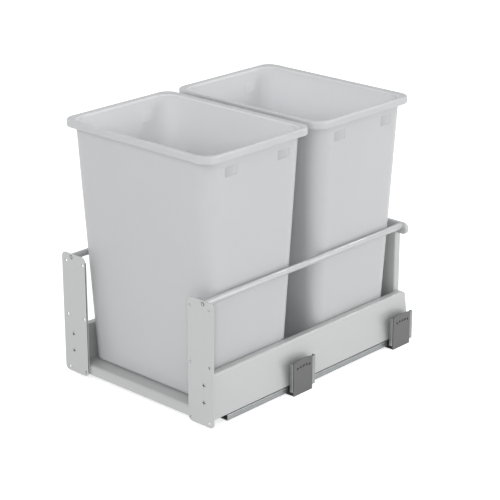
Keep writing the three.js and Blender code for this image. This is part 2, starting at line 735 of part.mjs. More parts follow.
// Sliding catch: a block with a fork open to the top, and the piston rod behind it.
function dampedCatch() {
  const y0 = fromDoor(catchFront);
  const y1 = y0 + catchLength;
  const floor = runnerBottom + damperWall + clearance;
  const half = damperWidth / 2 - damperWall - clearance;
  const block = box([damperMiddle - half, y0, floor], [damperMiddle + half, y1, catchTop]);
  const middle = (y0 + y1) / 2;
  const fork = box(
    [damperMiddle - half - overshoot, middle - forkWidth / 2, catchTop - forkDepth],
    [damperMiddle + half + overshoot, middle + forkWidth / 2, catchTop + overshoot]);
  const rodEnd = cylinderFront + pistonLength;
  const rod = bar(damperMiddle, damperAxisZ, y1 - overshoot, rodEnd, pistonDiameter, 12);
  return joined(cut(block, fork), rod);
}

// Pin under the tray that draws the catch along.
function catchPin() {
  const y = fromDoor(catchFront) + catchLength / 2;
  return post(pinX, y, catchTop + pinClearance, trayTop - sheet - clearance, pinDiameter);
}

// ---------------------------------------------------------------- assembly

const unit = new THREE.Group();
const fixedParts = new THREE.Group();
const middleParts = new THREE.Group();
const drawerParts = new THREE.Group();
const binParts = new THREE.Group();
unit.add(fixedParts, middleParts, drawerParts, binParts);

function addPiece(group, name, geometry, material) {
  const mesh = new THREE.Mesh(geometry, material);
  mesh.name = name;
  group.add(mesh);
  return mesh;
}

// A piece made for the right side, and its mirror image on the left.
function addPair(group, name, geometry, material) {
  addPiece(group, `${name}_right`, geometry, material);
  addPiece(group, `${name}_left`, mirrored(geometry), material);
}

addPair(fixedParts, 'cabinet_runner', cabinetMember(), zincSteel);
['front', 'rear'].forEach((place, i) => {
  addPair(fixedParts, `clip_plate_${place}`, clipPlate(clipFronts[i]), darkSteel);
  addPair(fixedParts, `clip_bracket_${place}`, clipBracket(clipFronts[i]), zincSteel);
  addPair(fixedParts, `clip_cradle_${place}`, clipCradle(clipFronts[i]), blackPlastic);
  addPair(fixedParts, `clip_screw_${place}`, clipScrew(clipFronts[i]), screwSteel);
});
addPair(fixedParts, 'damper_housing', damperHousing(), greyPlastic);
addPair(fixedParts, 'damper_cylinder', damperCylinder(), blackPlastic);
addPair(fixedParts, 'damped_catch', dampedCatch(), greyPlastic);

addPair(middleParts, 'middle_runner', middleMember(), zincSteel);
addPair(middleParts, 'lower_roller_cage', rollerCage(lowerRollerZ), greyPlastic);
addPair(middleParts, 'upper_roller_cage', rollerCage(upperRollerZ), greyPlastic);

addPair(drawerParts, 'drawer_runner', drawerMember(), zincSteel);
addPair(drawerParts, 'drawer_side', drawerSide(), powderCoat);
addPair(drawerParts, 'fixing_block', fixingBlock(), greyPlastic);
addPair(drawerParts, 'door_bracket', doorBracket(), powderCoat);
['lower', 'upper'].forEach((place, i) => {
  addPair(drawerParts, `bracket_screw_${place}`, screw(bracketScrewX, bracketScrewHeights[i]), screwSteel);
});
addPair(drawerParts, 'gallery_rail_front',
  railRod(fromDoor(bracketThickness), fromDoor(railJoint), true), railSteel);
addPair(drawerParts, 'gallery_rail_rear',
  railRod(fromDoor(railJoint + clearance), fromDoor(panelFront), false), railSteel);
addPair(drawerParts, 'rail_spigot',
  bar(railX, railZ, fromDoor(railJoint - spigotLength / 2), fromDoor(railJoint + spigotLength / 2),
    spigotDiameter, 16), zincSteel);
addPair(drawerParts, 'rail_screw_front', screw(railX, railZ), screwSteel);
addPair(drawerParts, 'rail_screw_rear', rearRailScrew(), screwSteel);
addPiece(drawerParts, 'base_tray', baseTray(), powderCoat);
addPiece(drawerParts, 'rear_panel', rearPanel(), powderCoat);
addPair(drawerParts, 'catch_pin', catchPin(), blackPlastic);

const binShape = bin();
for (const [name, middle] of [['bin_front', frontBinMiddle], ['bin_rear', rearBinMiddle]]) {
  addPiece(binParts, name, binShape.clone(), binPlastic).position.set(0, fromDoor(middle), binFloorZ);
}

export default unit;
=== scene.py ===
"""Looks of a pull-out trash cabinet: a folded steel pull-out frame, two lift-out bins, full-extension
runners and the clips that hold them to a kitchen cabinet.

Everything is in metres in the frame of the packed part: +X to the right seen from the front, +Y into
the cabinet, +Z up. Each piece takes its place from the solid it stands for, rides on the body that
carries that solid, and keeps its place in its mesh.
"""

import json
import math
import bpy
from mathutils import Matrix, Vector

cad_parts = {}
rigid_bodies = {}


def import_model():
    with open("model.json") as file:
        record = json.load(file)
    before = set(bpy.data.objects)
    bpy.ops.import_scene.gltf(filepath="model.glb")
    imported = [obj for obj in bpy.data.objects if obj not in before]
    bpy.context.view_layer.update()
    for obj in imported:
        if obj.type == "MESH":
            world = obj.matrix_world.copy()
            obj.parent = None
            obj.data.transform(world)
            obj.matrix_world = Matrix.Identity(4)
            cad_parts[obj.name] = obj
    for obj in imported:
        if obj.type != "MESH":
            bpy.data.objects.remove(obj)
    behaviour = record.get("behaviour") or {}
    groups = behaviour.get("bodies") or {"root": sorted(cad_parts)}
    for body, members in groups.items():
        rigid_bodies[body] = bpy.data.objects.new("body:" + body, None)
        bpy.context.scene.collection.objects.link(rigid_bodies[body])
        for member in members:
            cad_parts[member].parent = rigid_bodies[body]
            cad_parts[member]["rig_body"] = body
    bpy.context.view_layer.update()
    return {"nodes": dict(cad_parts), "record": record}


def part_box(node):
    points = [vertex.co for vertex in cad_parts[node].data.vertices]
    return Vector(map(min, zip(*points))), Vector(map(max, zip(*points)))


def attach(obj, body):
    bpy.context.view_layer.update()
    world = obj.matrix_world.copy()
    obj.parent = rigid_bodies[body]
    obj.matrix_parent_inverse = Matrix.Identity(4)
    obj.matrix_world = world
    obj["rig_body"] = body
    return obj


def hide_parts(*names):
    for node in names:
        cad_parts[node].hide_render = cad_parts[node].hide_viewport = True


bl_info = {
    "name": "Pull-out trash cabinet",
    "version": (1, 0, 0),
    "blender": (4, 5, 0),
    "location": "3D View > Sidebar > Pull-out",
    "description": "Dresses the pull-out frame, its bins, runners and wall clips",
    "category": "Object",
}

from functools import reduce

import bmesh
import bpy
import numpy as np
from bpy.props import FloatProperty, FloatVectorProperty, PointerProperty

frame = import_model()

MM = 0.001
SAME_POINT = 1e-6  # metres, within which two points are one
TURN_STEPS = 64  # points round a turned piece
SHEET_EDGE = 0.3 * MM  # rounding of the cut edges of folded sheet and of blocks
SIDES = (("right", 1.0), ("left", -1.0))
FINISH_OF = {s["node"]: s["material_slot"] for s in frame["record"]["subparts"]}
BODY_OF = {name: node["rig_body"] for name, node in frame["nodes"].items()}


# ---------------------------------------------------------------- sizes and colours a user may change


def number(name, description, default, **limits):
    """A number with its limits, or with its unit."""
    return FloatProperty(name=name, description=description, default=default, **limits)


def millimetres(name, description, default):
    """A length in millimetres."""
    return number(name, description + ", in mm", default, min=0.0, max=100.0, step=10, precision=2)


def metres(name, description, default):
    """A distance in metres."""
    return number(name, description, default, unit="LENGTH", subtype="DISTANCE")


def degrees(name, description, default):
    """An angle, whose default is given in degrees."""
    return number(name, description, math.radians(default), subtype="ANGLE")


def fraction(name, description, default):
    """A number from 0 to 1."""
    return number(name, description, default, min=0.0, max=1.0, subtype="FACTOR")


def watts(name, description, default):
    """The power of a lamp."""
    return number(name, description, default, min=0.0, max=2000.0, unit="POWER")


def paint(name, description, default):
    """A colour, in linear light."""
    return FloatVectorProperty(
        name=name, description=description, default=default, size=3, min=0.0, max=1.0, subtype="COLOR"
    )


class BinLook(bpy.types.PropertyGroup):
    """Form and colour of the two bins."""

    overhang: millimetres("Rim overhang", "How far the rim stands out past the wall", 7.4)
    drop: millimetres("Rim drop", "Height of the rim's outer skirt", 13.0)
    roll: millimetres("Rim roll", "From the crest of the rim to its outer face", 2.6)
    flare: millimetres("Rim flare", "From the crest down to the inside of the wall", 3.0)
    skirt: millimetres("Skirt thickness", "Thickness of the rim's skirt", 2.0)
    web: millimetres("Rim web", "Thickness of the rim over the wall", 2.2)
    wall: millimetres("Wall", "Thickness of the wall", 3.0)
    taper: fraction("Taper", "Lean of each wall per unit of height", 0.05)
    rim_corner: millimetres("Rim corner", "Corner radius of the rim from above", 24.0)
    top_corner: millimetres("Top corner", "Corner radius of the wall at the top", 36.0)
    bottom_corner: millimetres("Bottom corner", "Corner radius of the wall at the foot", 22.0)
    foot: millimetres("Foot radius", "Radius between the wall and the foot", 8.0)
    foot_width: millimetres("Foot width", "Width of the ring the bin stands on", 18.0)
    rise: millimetres("Floor rise", "How far the middle of the floor stands off the tray", 3.0)
    bow: millimetres("Wall bow", "How far a wall is drawn in at its middle", 0.6)
    pocket_length: millimetres("Pocket length", "Length of a finger pocket", 30.0)
    pocket_height: millimetres("Pocket height", "Height of a finger pocket", 18.0)
    pocket_depth: millimetres("Pocket depth", "Depth of a finger pocket", 1.5)
    pocket_back: fraction("Pocket back", "Share of a pocket's depth that shows on the inside", 0.25)
    # painted shadow: how much darker a pocket's floor is painted, as a share of the inside's painted lift
    pocket_shade: fraction("Pocket shade", "How much deeper in tone a pocket is, of the inside's lift", 0.5)
    pocket_drop: millimetres("Pocket drop", "Top of a pocket below the rim", 27.0)
    pocket_reach: millimetres("Pocket reach", "Middle of a pocket from the middle of the wall", 64.5)
    apart: millimetres("Apart", "How much less deep than its solid a bin is, towards the other", 5.0)
    colour: paint("Bin plastic", "Colour of the bins", (0.548, 0.554, 0.563))
    # painted light: the inside of a bin is painted lighter than its outside, standing in for light that
    # comes through the walls and falls in
    inside: paint("Bin inside", "Colour of the inside, where light comes through", (0.76, 0.765, 0.775))


class FrameLook(bpy.types.PropertyGroup):
    """Form and colour of the folded steel frame."""

    sheet: millimetres("Sheet", "Thickness of the folded steel", 1.6)
    top_width: millimetres("Top width", "Width of the flat top of a drawer side", 15.0)
    ridge: millimetres("Ridge radius", "Inside radius of the outer ridge of a side", 2.4)
    hem: millimetres("Hem", "Width of the hem under a side's outer wall", 3.2)
    hem_gap: millimetres("Hem gap", "Between the hem and the fixed runner member", 1.3)
    end_radius: millimetres("End radius", "Rounding of the rear upper corner of a side", 7.0)
    nose: millimetres("Tray nose", "Outside radius of the tray's front edge", 6.0)
    tray_hem: millimetres("Tray hem", "Depth of the hem under the tray's front edge", 7.0)
    head_height: millimetres("Head height", "Height of the rear panel's pressed head", 22.0)
    head_radius: millimetres("Head radius", "Rounding of the head's front edge", 3.6)
    head_depth: millimetres("Head depth", "How far the rear panel's head is folded back", 7.0)
    plate: millimetres("Door plate", "Thickness of a door plate", 2.0)
    plate_corner: millimetres("Plate corner", "Corner radius of a door plate", 9.0)
    colour: paint("Powder coat", "Colour of the powder coat", (0.467, 0.474, 0.472))
    rail: paint("Rail steel", "Colour of the gallery rails", (0.436, 0.44, 0.45))


class FittingLook(bpy.types.PropertyGroup):
    """Colours of the runners, clips, screws and plastics, and the form of the clip brackets."""

    zinc: paint("Zinc plate", "Colour of the runner members and clip brackets", (0.27, 0.282, 0.284))
    dark: paint("Dark coat", "Colour of the clip plates", (0.079, 0.078, 0.078))
    black: paint("Black plastic", "Colour of the cradles and dampers", (0.012, 0.012, 0.013))
    grey: paint("Grey plastic", "Colour of the roller cages and catches", (0.24, 0.25, 0.26))
    screw: paint("Screw steel", "Colour of the screws", (0.50, 0.505, 0.503))
    # painted shade: near black put in the screws' recesses, the clip plates' bores and their front edges,
    # where shade falls
    recess: paint("Recess", "Colour of recesses, bores and cut edges with dirt", (0.02, 0.02, 0.021))
    bracket_sheet: millimetres("Bracket sheet", "Thickness of a clip's light bracket", 1.6)
    bracket_past: millimetres("Bracket past", "How far the web runs past the solid to the rear", 3.5)
    bracket_rise: millimetres("Bracket rise", "How much higher than the solid the bracket stands", 0.2)
    edge: millimetres("Edge rounding", "Rounding of cut edges", 0.28)


class StageLook(bpy.types.PropertyGroup):
    """Camera, lamps and floor."""

    azimuth: degrees("Azimuth", "Camera's turn round the object", 42.78)
    elevation: degrees("Elevation", "Camera's height over the horizon", 20.32)
    distance: metres("Distance", "Camera to the point it looks at", 3.124)
    lens: number("Lens", "Focal length, in mm", 123.83, min=10.0, max=500.0)
    sky: number("Sky", "Strength of the even light", 0.56, min=0.0, max=5.0)
    key: watts("Key lamp", "Power of the main lamp", 41.0)
    side: watts("Side lamp", "Power of the lamp on the right", 37.0)
    rim: watts("Rim lamp", "Power of the lamp behind", 12.0)
    eye: watts("Eye lamp", "Power of the lamp beside the camera", 30.0)
    floor: metres("Floor", "Side of the square floor", 16.0)


LOOKS = {"bin_look": BinLook, "frame_look": FrameLook, "fitting_look": FittingLook, "stage_look": StageLook}


# ---------------------------------------------------------------- surfaces


def extent(node):
    """Lowest and highest corner of a solid of the frame, as arrays."""
    low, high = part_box(node)
    return np.array(low), np.array(high)


def sizes(look, *names):
    """Settings of a look, in metres."""
    return [getattr(look, name) * MM for name in names]


def skin(patches):
    """Points and quads of several grids of points, each of shape (rows, columns, 3)."""
    points, quads, first = [], [], 0
    for patch in patches:
        rows, columns = patch.shape[:2]
        corner = np.arange(rows - 1)[:, None] * columns + np.arange(columns - 1)[None, :]
        ring = np.stack([corner, corner + 1, corner + columns + 1, corner + columns], -1)
        quads.append(first + ring.reshape(-1, 4))
        points.append(patch.reshape(-1, 3))
        first += rows * columns
    return np.concatenate(points), np.concatenate(quads)


def mark_painted_light_and_shade(mesh, values):
    """Keeps one value a point for the materials' painted light and shade: 1 where they take their inner
    colour, the painted light inside a bin or the painted shade in a bore, a recess or a cut edge, 0 where
    they keep their own, and below 0 where the floor of a pocket takes a painted shadow."""
    mark = mesh.attributes.new("inside", "FLOAT", "POINT")
    mark.data.foreach_set("value", np.asarray(values, np.float32))


def closed_mesh(name, patches, inside=None):
    """A mesh from grids whose borders meet: points nearer than SAME_POINT become one, a quad with one
    repeated corner becomes a triangle, a quad with two disappears, and the faces are turned outwards.
    inside, when given, holds a grid of values of painted light and shade for each grid of points, kept as a
    point attribute."""
    points, quads = skin(patches)
    keys = np.round(points / SAME_POINT).astype(np.int64)
    _, first, back = np.unique(keys, axis=0, return_index=True, return_inverse=True)
    points, quads = points[first], back.reshape(-1)[quads]
    same = quads == np.roll(quads, -1, axis=1)
    repeats = same.sum(axis=1)
    whole, part = quads[repeats == 0], quads[repeats == 1]
    order = (same[repeats == 1].argmax(axis=1)[:, None] + 1 + np.arange(3)) % 4
    triangles = np.take_along_axis(part, order, axis=1)
    mesh = bpy.data.meshes.new(name)
    mesh.from_pydata(points, [], whole.tolist() + triangles.tolist())
    if inside is not None:
        mark_painted_light_and_shade(mesh, np.concatenate([grid.reshape(-1) for grid in inside])[first])
    work = bmesh.new()
    work.from_mesh(mesh)
    bmesh.ops.delete(work, geom=[v for v in work.verts if not v.link_faces], context="VERTS")
    bmesh.ops.recalc_face_normals(work, faces=work.faces)
    work.to_mesh(mesh)
    work.free()
    return mesh


def rounded(corners, radii, steps=8):
    """An open line in a plane with each inner corner swapped for an arc that touches both its sides:
    the arc starts radius x tan(half the turn) before the corner and turns about its centre."""
    line = np.asarray(corners, float)
    along = np.diff(line, axis=0)
    along /= np.linalg.norm(along, axis=1, keepdims=True)
    before, after = along[:-1], along[1:]
    cross = before[:, 0] * after[:, 1] - before[:, 1] * after[:, 0]
    turn = np.arctan2(cross, (before * after).sum(1))[:, None]
    radius = np.broadcast_to(np.asarray(radii, float), (len(line) - 2,))[:, None]
    start = line[1:-1] - before * radius * np.tan(np.abs(turn) / 2)
    sideways = np.stack([-before[:, 1], before[:, 0]], 1)
    centre = start + sideways * np.sign(turn) * radius
    spoke = (start - centre)[:, None, :]
    angle = turn * np.linspace(0, 1, steps + 1)
    cos, sin, x, y = np.cos(angle), np.sin(angle), spoke[..., 0], spoke[..., 1]
    arc = np.stack([cos * x - sin * y, sin * x + cos * y], -1)
    return np.concatenate([line[:1], (centre[:, None, :] + arc).reshape(-1, 2), line[-1:]])


def folded(corners, sheet, inside, steps=8):
    """The two lines of a folded sheet's section. The back line stands one sheet to the right of the face
    line, along the mitre of the two sides' normals; the outer line of a bend has the larger radius."""
    face = np.asarray(corners, float)
    along = np.diff(face, axis=0)
    along /= np.linalg.norm(along, axis=1, keepdims=True)
    normal = np.stack([along[:, 1], -along[:, 0]], 1)
    first, second = np.concatenate([normal[:1], normal]), np.concatenate([normal, normal[-1:]])
    back = face + (first + second) * sheet / (1 + (first * second).sum(1))[:, None]
    right = normal[:-1, 0] * normal[1:, 1] - normal[:-1, 1] * normal[1:, 0] < 0
    inside = np.asarray(inside, float)
    return (
        rounded(face, inside + np.where(right, sheet, 0), steps),
        rounded(back, inside + np.where(right, 0, sheet), steps),
    )


def carried(face, back, stations, place):
    """The closed skin of a sheet whose section is carried along stations: both faces, both long edges
    and both ends. place(points of the section, station) gives the points in space."""
    front, rear = place(face, stations[:, None]), place(back, stations[:, None])
    ends = [np.stack([front[k], rear[k]]) for k in (0, -1)]
    edges = [np.stack([front[:, k], rear[:, k]], 1) for k in (0, -1)]
    return [front, rear, *edges, *ends]


def along_y(section, station):
    """A section drawn in (x, z) at a distance along Y."""
    x, y, z = np.broadcast_arrays(section[:, 0], station, section[:, 1])
    return np.stack([x, y, z], -1)


def along_x(section, station):
    """A section drawn in (y, z) at a distance along X."""
    x, y, z = np.broadcast_arrays(station, section[:, 0], section[:, 1])
    return np.stack([x, y, z], -1)


def along_z(section, station):
    """A section drawn in (x, y) at a height."""
    x, y, z = np.broadcast_arrays(section[:, 0], section[:, 1], station)
    return np.stack([x, y, z], -1)


def turned(centre, profile, sink=None):
    """A profile of (radius, distance along Y) turned round a line along Y through centre = (x, y, z).
    sink(across, up, depth) moves points further along Y, as a recess in a face does."""
    profile = np.asarray(profile, float)
    angle = np.linspace(0, 2 * np.pi, TURN_STEPS + 1)
    across, up = profile[:, :1] * np.cos(angle), profile[:, :1] * np.sin(angle)
    depth = np.broadcast_to(profile[:, 1:], across.shape)
    if sink is not None:
        depth = depth + sink(across, up, depth)
    return [np.stack([centre[0] + across, centre[1] + depth, centre[2] + up], -1)]


def soft_step(value):
    """0 below 0, 1 above 1, and a smooth rise between."""
    value = np.clip(value, 0, 1)
    return value * value * (3 - 2 * value)


def ramp(start, end, steps):
    """Numbers from start to end, without the end."""
    return np.linspace(start, end, steps, endpoint=False)


# ---------------------------------------------------------------- finishes


def node(tree, kind, inputs=None, **settings):
    """A node with its settings. Each of its inputs is joined to a socket or set to a value."""
    made = tree.nodes.new(kind)
    for key, value in settings.items():
        setattr(made, key, value)
    for label, value in (inputs or {}).items():
        if isinstance(value, bpy.types.NodeSocket):
            tree.links.new(value, made.inputs[label])
        else:
            made.inputs[label].default_value = value
    return made


def maths(tree, operation, *inputs, clamp=False):
    """The result of a Math node on sockets or numbers."""
    values = dict(enumerate(inputs))
    return node(tree, "ShaderNodeMath", values, operation=operation, use_clamp=clamp).outputs[0]


def scaled(tree, value, low, high):
    """A value from 0..1 stretched to low..high."""
    values = {"Value": value, "To Min": low, "To Max": high}
    return node(tree, "ShaderNodeMapRange", values).outputs["Result"]


def own_place(tree, stretch=None):
    """The place of a point in its piece's own metres, each axis times the stretch when one is given."""
    place = node(tree, "ShaderNodeTexCoord").outputs["Object"]
    if stretch is None:
        return place
    return node(tree, "ShaderNodeMapping", {"Vector": place, "Scale": stretch}).outputs["Vector"]


def new_group(name, inputs, output):
    """A node group with inputs {name: default} and one float output: the group, what its inputs give
    and the socket of its output."""
    tree = bpy.data.node_groups.new(name, "ShaderNodeTree")
    for label, default in inputs.items():
        kind = "NodeSocketVector" if isinstance(default, tuple) else "NodeSocketFloat"
        tree.interface.new_socket(label, in_out="INPUT", socket_type=kind).default_value = default
    tree.interface.new_socket(output, in_out="OUTPUT", socket_type="NodeSocketFloat")
    return tree, tree.nodes.new("NodeGroupInput").outputs, tree.nodes.new("NodeGroupOutput").inputs[output]


def grain_group(name):
    """Even noise on the piece's own metres, stretched along an axis for drawn or rolled metal."""
    tree, given, out = new_group(name, {"Scale": 900.0, "Stretch": (1.0, 1.0, 1.0), "Detail": 2.0}, "Value")
    place = own_place(tree, given["Stretch"])
    values = {"Vector": place, "Scale": given["Scale"], "Detail": given["Detail"]}
    tree.links.new(node(tree, "ShaderNodeTexNoise", values).outputs["Fac"], out)
    return tree


def handling_group(name):
    """Where hands and cloths have been: broad faint patches broken up by finer ones, as
    0.5 + contrast x (broad x fine - 0.25), since the noises lie round 0.5."""
    tree, given, out = new_group(name, {"Scale": 14.0, "Contrast": 2.0}, "Mask")
    place = own_place(tree)
    finer = maths(tree, "MULTIPLY", given["Scale"], 6.5)
    broad = node(tree, "ShaderNodeTexNoise", {"Vector": place, "Scale": given["Scale"], "Detail": 3.0})
    fine = node(tree, "ShaderNodeTexNoise", {"Vector": place, "Scale": finer, "Detail": 4.0})
    both = maths(tree, "MULTIPLY", broad.outputs["Fac"], fine.outputs["Fac"])
    centred = maths(tree, "SUBTRACT", both, 0.25)
    tree.links.new(maths(tree, "MULTIPLY_ADD", centred, given["Contrast"], 0.5, clamp=True), out)
    return tree


def spangle_group(name):
    """Flat crystals of a zinc coat: one value per cell, with the cells drawn out along the strip."""
    tree, given, out = new_group(name, {"Scale": 260.0, "Stretch": (1.0, 0.4, 1.0)}, "Value")
    values = {"Vector": own_place(tree, given["Stretch"]), "Scale": given["Scale"]}
    cells = node(tree, "ShaderNodeTexVoronoi", values)
    split = node(tree, "ShaderNodeSeparateColor", {"Color": cells.outputs["Color"]})
    tree.links.new(split.outputs["Red"], out)
    return tree


def tint_group(name):
    """The factor 1 + amount x (value - 0.5), by which a colour is made lighter or darker."""
    tree, given, out = new_group(name, {"Value": 0.5, "Amount": 0.05}, "Factor")
    centred = maths(tree, "SUBTRACT", given["Value"], 0.5)
    tree.links.new(maths(tree, "MULTIPLY_ADD", centred, given["Amount"], 1.0), out)
    return tree


GROUPS = {
    "fine_grain": grain_group,
    "handling_marks": handling_group,
    "zinc_spangle": spangle_group,
    "shade_by_value": tint_group,
}


def group_value(tree, name, **values):
    """What a node group gives when it is placed in a material with its own values; it is built once."""
    group = bpy.data.node_groups.get(name) or GROUPS[name](name)
    return node(tree, "ShaderNodeGroup", values, node_tree=group).outputs[0]


def new_material(name, colour, roughness, metallic, **constants):
    """A material with its constant values set on the shader's own sockets."""
    material = bpy.data.materials.new(name)
    material.use_nodes = True
    tree = material.node_tree
    shader = tree.nodes["Principled BSDF"]
    shader.inputs["Base Color"].default_value = (*colour, 1.0)
    shader.inputs["Roughness"].default_value = roughness
    shader.inputs["Metallic"].default_value = metallic
    for label, value in constants.items():
        shader.inputs[label.replace("_", " ")].default_value = value
    material.diffuse_color = (*colour, 1.0)
    return material, tree, shader


def shaded(tree, shader, colour, layers, inner=None):
    """Base colour times the factor of each (value, amount) layer. inner, when given, is the colour of
    painted light (inside a bin) or of painted shade (in bores, recesses and cut edges) that takes over with
    the mesh's own inside attribute: colour + inside x (inner - colour)."""
    tints = [group_value(tree, "shade_by_value", Value=value, Amount=amount) for value, amount in layers]
    factor = reduce(lambda first, second: maths(tree, "MULTIPLY", first, second), tints)
    if inner is not None:
        inside = node(tree, "ShaderNodeAttribute", attribute_name="inside").outputs["Fac"]
        blend = {0: inside, 1: np.subtract(inner, colour), 2: colour}
        colour = node(tree, "ShaderNodeVectorMath", blend, operation="MULTIPLY_ADD").outputs["Vector"]
    product = node(tree, "ShaderNodeVectorMath", {0: colour, "Scale": factor}, operation="SCALE")
    tree.links.new(product.outputs["Vector"], shader.inputs["Base Color"])


def worn(tree, shader, mask, roughness, spread):
    """Roughness that a mask moves from its middle less the spread to its middle plus the spread."""
    tree.links.new(scaled(tree, mask, roughness - spread, roughness + spread), shader.inputs["Roughness"])


def bumped(tree, shader, height, strength, depth):
    """A bump of the given depth in metres under the shader's normal."""
    bump = node(tree, "ShaderNodeBump", {"Strength": strength, "Distance": depth, "Height": height})
    tree.links.new(bump.outputs["Normal"], shader.inputs["Normal"])


# values for the shader's own sockets, and the stretch of a pattern along Y
CLEAR_COAT = {"Coat_Weight": 0.5, "Coat_Roughness": 0.14}
LIGHT_COMES_THROUGH = {
    "Subsurface_Weight": 1.0, "Subsurface_Radius": (0.95, 0.98, 1.0), "Subsurface_Scale": 0.004,
}
ALONG_STRIP = (1.0, 0.02, 1.0)


def powder_coat(name, colour, roughness=0.44, inner=None):
    """Semi-gloss powder coat: fine metallic fleck, orange-peel skin and faint handling marks."""
    material, tree, shader = new_material(name, colour, roughness, 0.12, **CLEAR_COAT)
    fleck = group_value(tree, "fine_grain", Scale=2600.0, Detail=1.0)
    peel = group_value(tree, "fine_grain", Scale=620.0, Detail=2.0)
    marks = group_value(tree, "handling_marks", Scale=9.0, Contrast=2.2)
    shaded(tree, shader, colour, [(fleck, 0.16), (peel, 0.05), (marks, 0.035)], inner)
    worn(tree, shader, marks, roughness, spread=0.07)
    bumped(tree, shader, peel, strength=0.25, depth=0.00012)
    return material


def drawn_steel(
    name, colour, roughness, metallic, stretch=(1.0, 1.0, 1.0), spangle=0.0, inner=None, **constants
):
    """Plated or drawn steel: streaks along the strip, rubbed patches and, where spangle is over 0,
    crystals of the coat."""
    material, tree, shader = new_material(name, colour, roughness, metallic, **constants)
    streak = group_value(tree, "fine_grain", Scale=900.0, Detail=3.0, Stretch=stretch)
    marks = group_value(tree, "handling_marks", Scale=16.0, Contrast=2.4)
    layers = [(streak, 0.22), (marks, 0.06)]
    if spangle:
        layers.append((group_value(tree, "zinc_spangle"), spangle))
    shaded(tree, shader, colour, layers, inner)
    worn(tree, shader, streak, roughness, spread=0.09)
    bumped(tree, shader, streak, strength=0.2, depth=0.00004)
    return material


def moulded(name, colour, roughness, scale=1500.0, inner=None, **constants):
    """Moulded plastic: fine spark-eroded skin, slow clouding and faint scuffs."""
    material, tree, shader = new_material(name, colour, roughness, 0.0, **constants)
    grain = group_value(tree, "fine_grain", Scale=scale, Detail=2.0)
    cloud = group_value(tree, "fine_grain", Scale=7.0, Detail=2.0, Stretch=(1.0, 1.0, 0.35))
    marks = group_value(tree, "handling_marks", Scale=11.0, Contrast=1.8)
    shaded(tree, shader, colour, [(cloud, 0.05), (marks, 0.02), (grain, 0.03)], inner)
    worn(tree, shader, marks, roughness, spread=0.06)
    bumped(tree, shader, grain, strength=0.18, depth=0.00008)
    return material


def finish(slot):
    """The material of a slot of the record, made once: its maker, its colour and its other values."""
    name = "look_" + slot
    made = bpy.data.materials.get(name)
    if made:
        return made
    scene = bpy.context.scene
    bins, steel, small = scene.bin_look, scene.frame_look, scene.fitting_look
    # painted shade: near black for the clip plates' bores and front edges and for the screws' recesses
    painted_shade = tuple(small.recess)
    maker, colour, values = {
        "silver_powder_coat": (powder_coat, steel.colour, {}),
        "dark_grey_coated_steel": (powder_coat, small.dark, {"roughness": 0.5, "inner": painted_shade}),
        "satin_rail_steel": (
            drawn_steel, steel.rail,
            {"roughness": 0.42, "metallic": 0.3, "stretch": ALONG_STRIP, **CLEAR_COAT},
        ),
        "zinc_plated_steel": (
            drawn_steel, small.zinc,
            {"roughness": 0.38, "metallic": 0.7, "stretch": ALONG_STRIP, "spangle": 0.12},
        ),
        "screw_steel": (drawn_steel, small.screw, {"roughness": 0.4, "metallic": 0.4, "inner": painted_shade}),
        "black_plastic": (moulded, small.black, {"roughness": 0.6, "Specular_IOR_Level": 0.25}),
        "grey_plastic": (moulded, small.grey, {"roughness": 0.48}),
        # painted light: the inside of a bin takes a lighter colour than its outside
        "white_translucent_plastic": (
            moulded, bins.colour,
            {"roughness": 0.40, "scale": 1100.0, "inner": tuple(bins.inside), "Specular_IOR_Level": 0.45,
             **LIGHT_COMES_THROUGH},
        ),
    }[slot]
    return maker(name, tuple(colour), **values)


# ---------------------------------------------------------------- placing pieces


def rounded_edges(made, width):
    """A bevel on the cut edges of a piece."""
    bevel = made.modifiers.new("edges", "BEVEL")
    bevel.width = width
    bevel.segments = 2
    bevel.limit_method = "ANGLE"
    bevel.angle_limit = math.radians(32.0)
    bevel.use_clamp_overlap = True
    bevel.harden_normals = True


def add_piece(name, mesh, stands_for, edge=0.0, smooth=32.0):
    """Links a mesh as a piece in place of one or more solids: it rides on their body and takes their
    slot. edge rounds its cut edges, and faces that meet at more than smooth degrees keep a sharp edge."""
    made = bpy.data.objects.new(name, mesh)
    bpy.context.scene.collection.objects.link(made)
    mesh.shade_smooth()
    mesh.set_sharp_from_angle(angle=math.radians(smooth))
    slot = FINISH_OF[stands_for[0]]
    mesh.materials.clear()
    mesh.materials.append(finish(slot))
    if edge:
        rounded_edges(made, edge)
    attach(made, BODY_OF[stands_for[0]])
    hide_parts(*stands_for)
    return made


def mirror_patches(patches, side):
    """The same grids on the right (side = 1) or the left (side = -1)."""
    return [patch * np.array([side, 1.0, 1.0]) for patch in patches]


def merged_copy(source):
    """A copy of a solid's mesh with its loose triangles joined and its flat faces made whole."""
    work = bmesh.new()
    work.from_mesh(frame["nodes"][source].data)
    bmesh.ops.remove_doubles(work, verts=work.verts, dist=SAME_POINT)
    flat = math.radians(0.6)
    bmesh.ops.dissolve_limit(
        work, angle_limit=flat, verts=work.verts, edges=work.edges, use_dissolve_boundaries=False
    )
    mesh = bpy.data.meshes.new(source + "_mesh")
    work.to_mesh(mesh)
    work.free()
    return mesh


def edged(source, width):
    """A solid kept in its own form, with its cut edges rounded over."""
    return add_piece(source + "_edged", merged_copy(source), [source], edge=width)


def combine(mesh, tools, operation):
    """A mesh cut by, or joined with, closed tools: solved exactly, then kept as a plain mesh."""
    body = bpy.data.objects.new("work", mesh)
    bpy.context.scene.collection.objects.link(body)
    helpers = []
    for tool in tools:
        helper = bpy.data.objects.new("tool", tool)
        bpy.context.scene.collection.objects.link(helper)
        step = body.modifiers.new("step", "BOOLEAN")
        step.operation = operation
        step.solver = "EXACT"
        step.object = helper
        helpers.append(helper)
    bpy.context.view_layer.update()
    graph = bpy.context.evaluated_depsgraph_get()
    result = bpy.data.meshes.new_from_object(body.evaluated_get(graph))
    for spare in [body, *helpers]:
        bpy.data.objects.remove(spare)
    return result


# ---------------------------------------------------------------- bins


